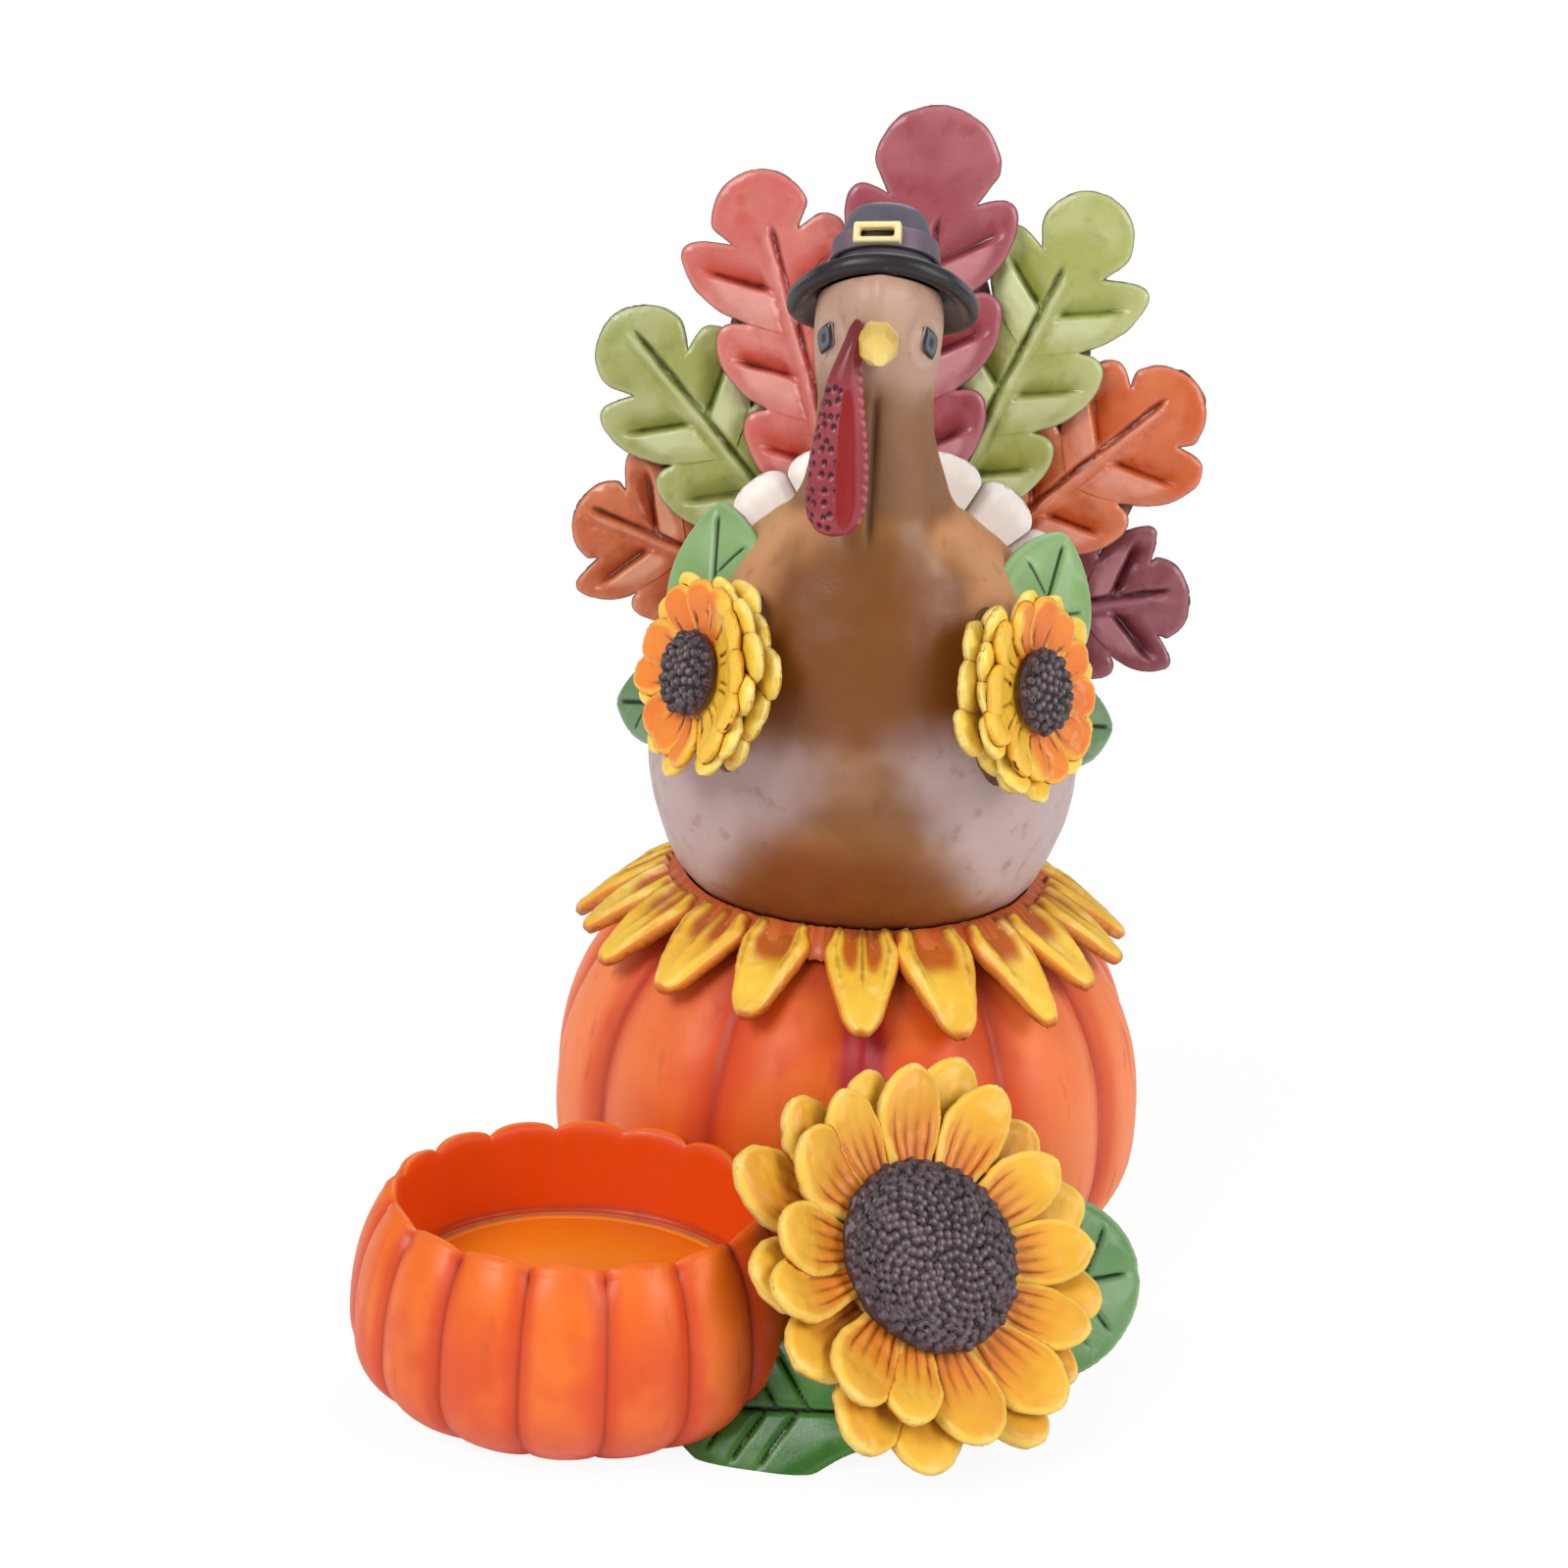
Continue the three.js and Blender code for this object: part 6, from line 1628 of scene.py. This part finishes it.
# %% Paint the big flower
flower_paint = resin_paint(
    "flower_paint", "eab438", "dfa02c", wash="5c2f0a", dry_brush_highlight="f4d47a", roughness=0.4, clear=0.12, seed=20,
    coats=[
        ("tone", "d88a2a", 0.45, 1.0, 0.5),
        ("share", "d8721c", 0.8, 0.3, 0.85),
        ("rim", "efc852", 0.25, 1.0, 0.8),
        ("wash", "7c3e0c", 0.3, 0.95, 0.75),
        # Painted shade: darker ochre on undersides and cut walls.
        ("front", "a0641a", 0.6, 0.2, 0.8),
    ],
)
hand_over(big_back, "front_flower_back_petals", flower_paint)
hand_over(big_front, "front_flower_front_petals", flower_paint)
hand_over(big_seeds, "front_flower_seed_disc", seed_paint)

# %% [markdown]
# The stem turns from the flower's back to the pumpkin. It could be a curve with a bevel, but rings that
# are bridged end to end show how a bent tube is made from circles: each one is added in the place that
# the bend gives it.

# %% Bend the stem
STEM_RADIUS, STEM_BEARING, STEM_REACH, STEM_HEIGHT = 10, 8.1, 34, 13.5
start, middle = (FLOWER_PLACE @ (Vector((0, 0, -depth)) * MM) for depth in (GLUE_GAP, 10))
towards = math.radians(STEM_BEARING)
reach_in = Vector((math.sin(towards), -math.cos(towards), 0)) * STEM_REACH
end = (reach_in + Vector((0, 0, STEM_HEIGHT))) * MM
pick()
circles = []
for share in np.linspace(0, 1, 13):
    spot = start * (1 - share) ** 2 + middle * 2 * share * (1 - share) + end * share**2
    bearing, lean = between(FLOWER_BEARING, STEM_BEARING, share), between(FLOWER_LEAN, 0, share)
    turn = facing(spot / MM, bearing, lean).to_euler()
    radius = STEM_RADIUS * between(1, 1.2, share) * MM
    bpy.ops.mesh.primitive_circle_add(vertices=72, radius=radius, location=spot, rotation=turn)
    circles.append(bpy.context.object)
pick(circles[0])
for circle in circles:
    circle.select_set(True)
bpy.ops.object.join()
stem = bpy.context.object
bpy.ops.object.transform_apply(location=True, rotation=True, scale=True)
bpy.ops.object.mode_set(mode="EDIT")
bpy.ops.mesh.select_all(action="SELECT")
bpy.ops.mesh.bridge_edge_loops()
bpy.ops.mesh.select_non_manifold(extend=False)
bpy.ops.mesh.edge_face_add()
bpy.ops.mesh.fill_holes(sides=0)
bpy.ops.mesh.select_all(action="SELECT")
bpy.ops.mesh.normals_make_consistent(inside=False)
bpy.ops.object.mode_set(mode="OBJECT")
print("stem faces before its cuts:", len(stem.data.polygons))

# %% [markdown]
# Two leaves lie at the flower's foot. The left one is dark and deeply veined, the right one pale. Both
# are cut by all that they touch. The stem is cut first, because the leaves lie against it.

# %% Cut the stem and lay the two ground leaves
LEFT_VEINS = [(0.3, 1), (0.45, 1), (0.6, 1), (0.35, -1), (0.5, -1), (0.65, -1)]
RIGHT_VEINS = [(0.45, 1), (0.62, 1), (0.5, -1), (0.68, -1)]


def ground_leaf(origin, bearing, elevation, turn, length, width, point, veins):
    leaf = pointed_leaf(length, width, 2, point, veins, 0.45)
    settle(leaf, facing(origin, bearing, elevation) @ turned_by(-turn))
    for stop in (cup, pumpkin, stem, big_back):
        carve(leaf, stop)
    carve(leaf, ground, 0)
    return leaf


carve(stem, pumpkin)
carve(stem, cup)
carve(stem, ground, 0)
mark(stem, "height", spots(stem)[:, 2] / 30)
x, y, _ = FLOWER_SPOT
left_leaf = ground_leaf((x - 2.6, y - 8.6, 6.2), -10, 32, -95, 26, 19, 0.75, LEFT_VEINS)
right_leaf = ground_leaf((x + 6.4, y + 13, 11.4), 26, 20, 88, 25, 23, 0.5, RIGHT_VEINS)
bpy.data.objects.remove(ground)
bpy.data.objects.remove(candle_room)
stem_paint = resin_paint(
    "stem_paint", "4f7a3c", "5c8647", seed=21,
    coats=[("height", "36562a", 0.4, 0.0, 0.7), ("brush", "3c6030", 0.55, 0.75, 0.5)],
)
left_leaf_paint = green_paint("left_ground_leaf_paint", "2b6018", "3c7826", "5a9440", "060f06", 22, 0.3)
right_leaf_paint = green_paint("right_ground_leaf_paint", "6d9a60", "5b8a50", "96b88a", "1a321a", 23, 0.36)
hand_over(stem, "front_flower_stem", stem_paint)
hand_over(left_leaf, "ground_leaf_left", left_leaf_paint)
hand_over(right_leaf, "ground_leaf_right", right_leaf_paint)

# %% [markdown]
# ## Floor, light and camera
# The floor is plain and pale. The camera sees most of it as bright as paper, so that the picture has a
# white ground, and a tenth of it near the object as it is lit, so that the object still throws its
# shadow. Further away that tenth fades, and floor and sky meet without a line.

# %% Lay the floor
def seen_direct(tree):
    path = tree.nodes.new("ShaderNodeLightPath")
    either = tree.nodes.new("ShaderNodeMath")
    either.operation = "MAXIMUM"
    tree.links.new(path.outputs["Is Camera Ray"], either.inputs[0])
    tree.links.new(path.outputs["Is Transmission Ray"], either.inputs[1])
    return either.outputs["Value"]


pick()
bpy.ops.mesh.primitive_plane_add(size=8)
floor = bpy.context.object
floor.name = "floor"
floor_paint = bpy.data.materials.new("floor_paper")
floor_paint.use_nodes = True
tree = floor_paint.node_tree
paper = tree.nodes["Principled BSDF"]
paper.inputs["Base Color"].default_value = (0.9, 0.9, 0.9, 1)
paper.inputs["Roughness"].default_value = 0.9
glow = tree.nodes.new("ShaderNodeEmission")
glow.inputs["Strength"].default_value = 1.03
blend = tree.nodes.new("ShaderNodeMixShader")
place = tree.nodes.new("ShaderNodeTexCoord")
away = tree.nodes.new("ShaderNodeVectorMath")
away.operation = "LENGTH"
far = tree.nodes.new("ShaderNodeMapRange")
set_range(far, 0.25, 0.7, 0.9, 1.0)
most = tree.nodes.new("ShaderNodeMath")
most.operation = "MULTIPLY"
tree.links.new(place.outputs["Object"], away.inputs[0])
tree.links.new(away.outputs["Value"], far.inputs["Value"])
tree.links.new(far.outputs["Result"], most.inputs[1])
tree.links.new(seen_direct(tree), most.inputs[0])
tree.links.new(most.outputs["Value"], blend.inputs["Fac"])
tree.links.new(paper.outputs["BSDF"], blend.inputs[1])
tree.links.new(glow.outputs["Emission"], blend.inputs[2])
tree.links.new(blend.outputs["Shader"], tree.nodes["Material Output"].inputs["Surface"])
floor.data.materials.append(floor_paint)
print("floor, m:", tuple(floor.dimensions))

# %% [markdown]
# An even sky and three large soft lamps light the figure at a plain level, at which a colour renders
# about as it is written. To the camera the sky is plain white.

# %% Hang the sky and the lamps
world = bpy.data.worlds.new("studio")
bpy.context.scene.world = world
world.use_nodes = True
sky = world.node_tree
soft = sky.nodes["Background"]
soft.inputs["Color"].default_value = (1, 0.99, 0.98, 1)
soft.inputs["Strength"].default_value = 0.42
white = sky.nodes.new("ShaderNodeBackground")
white.inputs["Color"].default_value = (1, 1, 1, 1)
either_sky = sky.nodes.new("ShaderNodeMixShader")
sky.links.new(seen_direct(sky), either_sky.inputs["Fac"])
sky.links.new(soft.outputs["Background"], either_sky.inputs[1])
sky.links.new(white.outputs["Background"], either_sky.inputs[2])
sky.links.new(either_sky.outputs["Shader"], sky.nodes["World Output"].inputs["Surface"])
LAMP_AIM = Vector((0, -0.01, 0.07))


def soft_lamp(name, spot, size, power):
    bpy.ops.object.light_add(type="AREA", location=spot)
    lamp = bpy.context.object
    lamp.name = name
    lamp.data.size = size
    lamp.data.energy = power
    lamp.rotation_euler = (LAMP_AIM - Vector(spot)).to_track_quat("-Z", "Y").to_euler()
    print(lamp.name, lamp.data.energy, "W")


pick()
soft_lamp("lamp_left", (-0.65, -0.75, 0.85), 0.6, 9.5)
soft_lamp("lamp_right", (0.8, -0.5, 0.5), 0.55, 5.0)
soft_lamp("lamp_back", (0.1, 0.8, 0.8), 0.7, 3.0)

# %% [markdown]
# The camera stands where the photograph was taken from, a little above the figure and rolled slightly.

# %% Set the camera
CAMERA_SPOT, CAMERA_AIM = Vector((0, -0.48, 0.204)), Vector((-0.01, 0, 0.0624))
CAMERA_LENS, CAMERA_ROLL = 88.07, 2.7
bpy.ops.object.camera_add(location=CAMERA_SPOT)
camera = bpy.context.object
camera.data.lens = CAMERA_LENS
camera.data.sensor_width = 36
camera.data.clip_start = 0.01
look = (CAMERA_AIM - CAMERA_SPOT).to_track_quat("-Z", "Y").to_matrix().to_4x4()
camera.matrix_world = Matrix.Translation(CAMERA_SPOT) @ look @ turned_by(CAMERA_ROLL)
bpy.context.scene.camera = camera
bpy.context.scene.view_settings.view_transform = "Standard"
print("camera looks over", round((CAMERA_AIM - CAMERA_SPOT).length, 3), "m")

# %% [markdown]
# Last, the selection is cleared.

# %% Clear the selection and finish
pick()
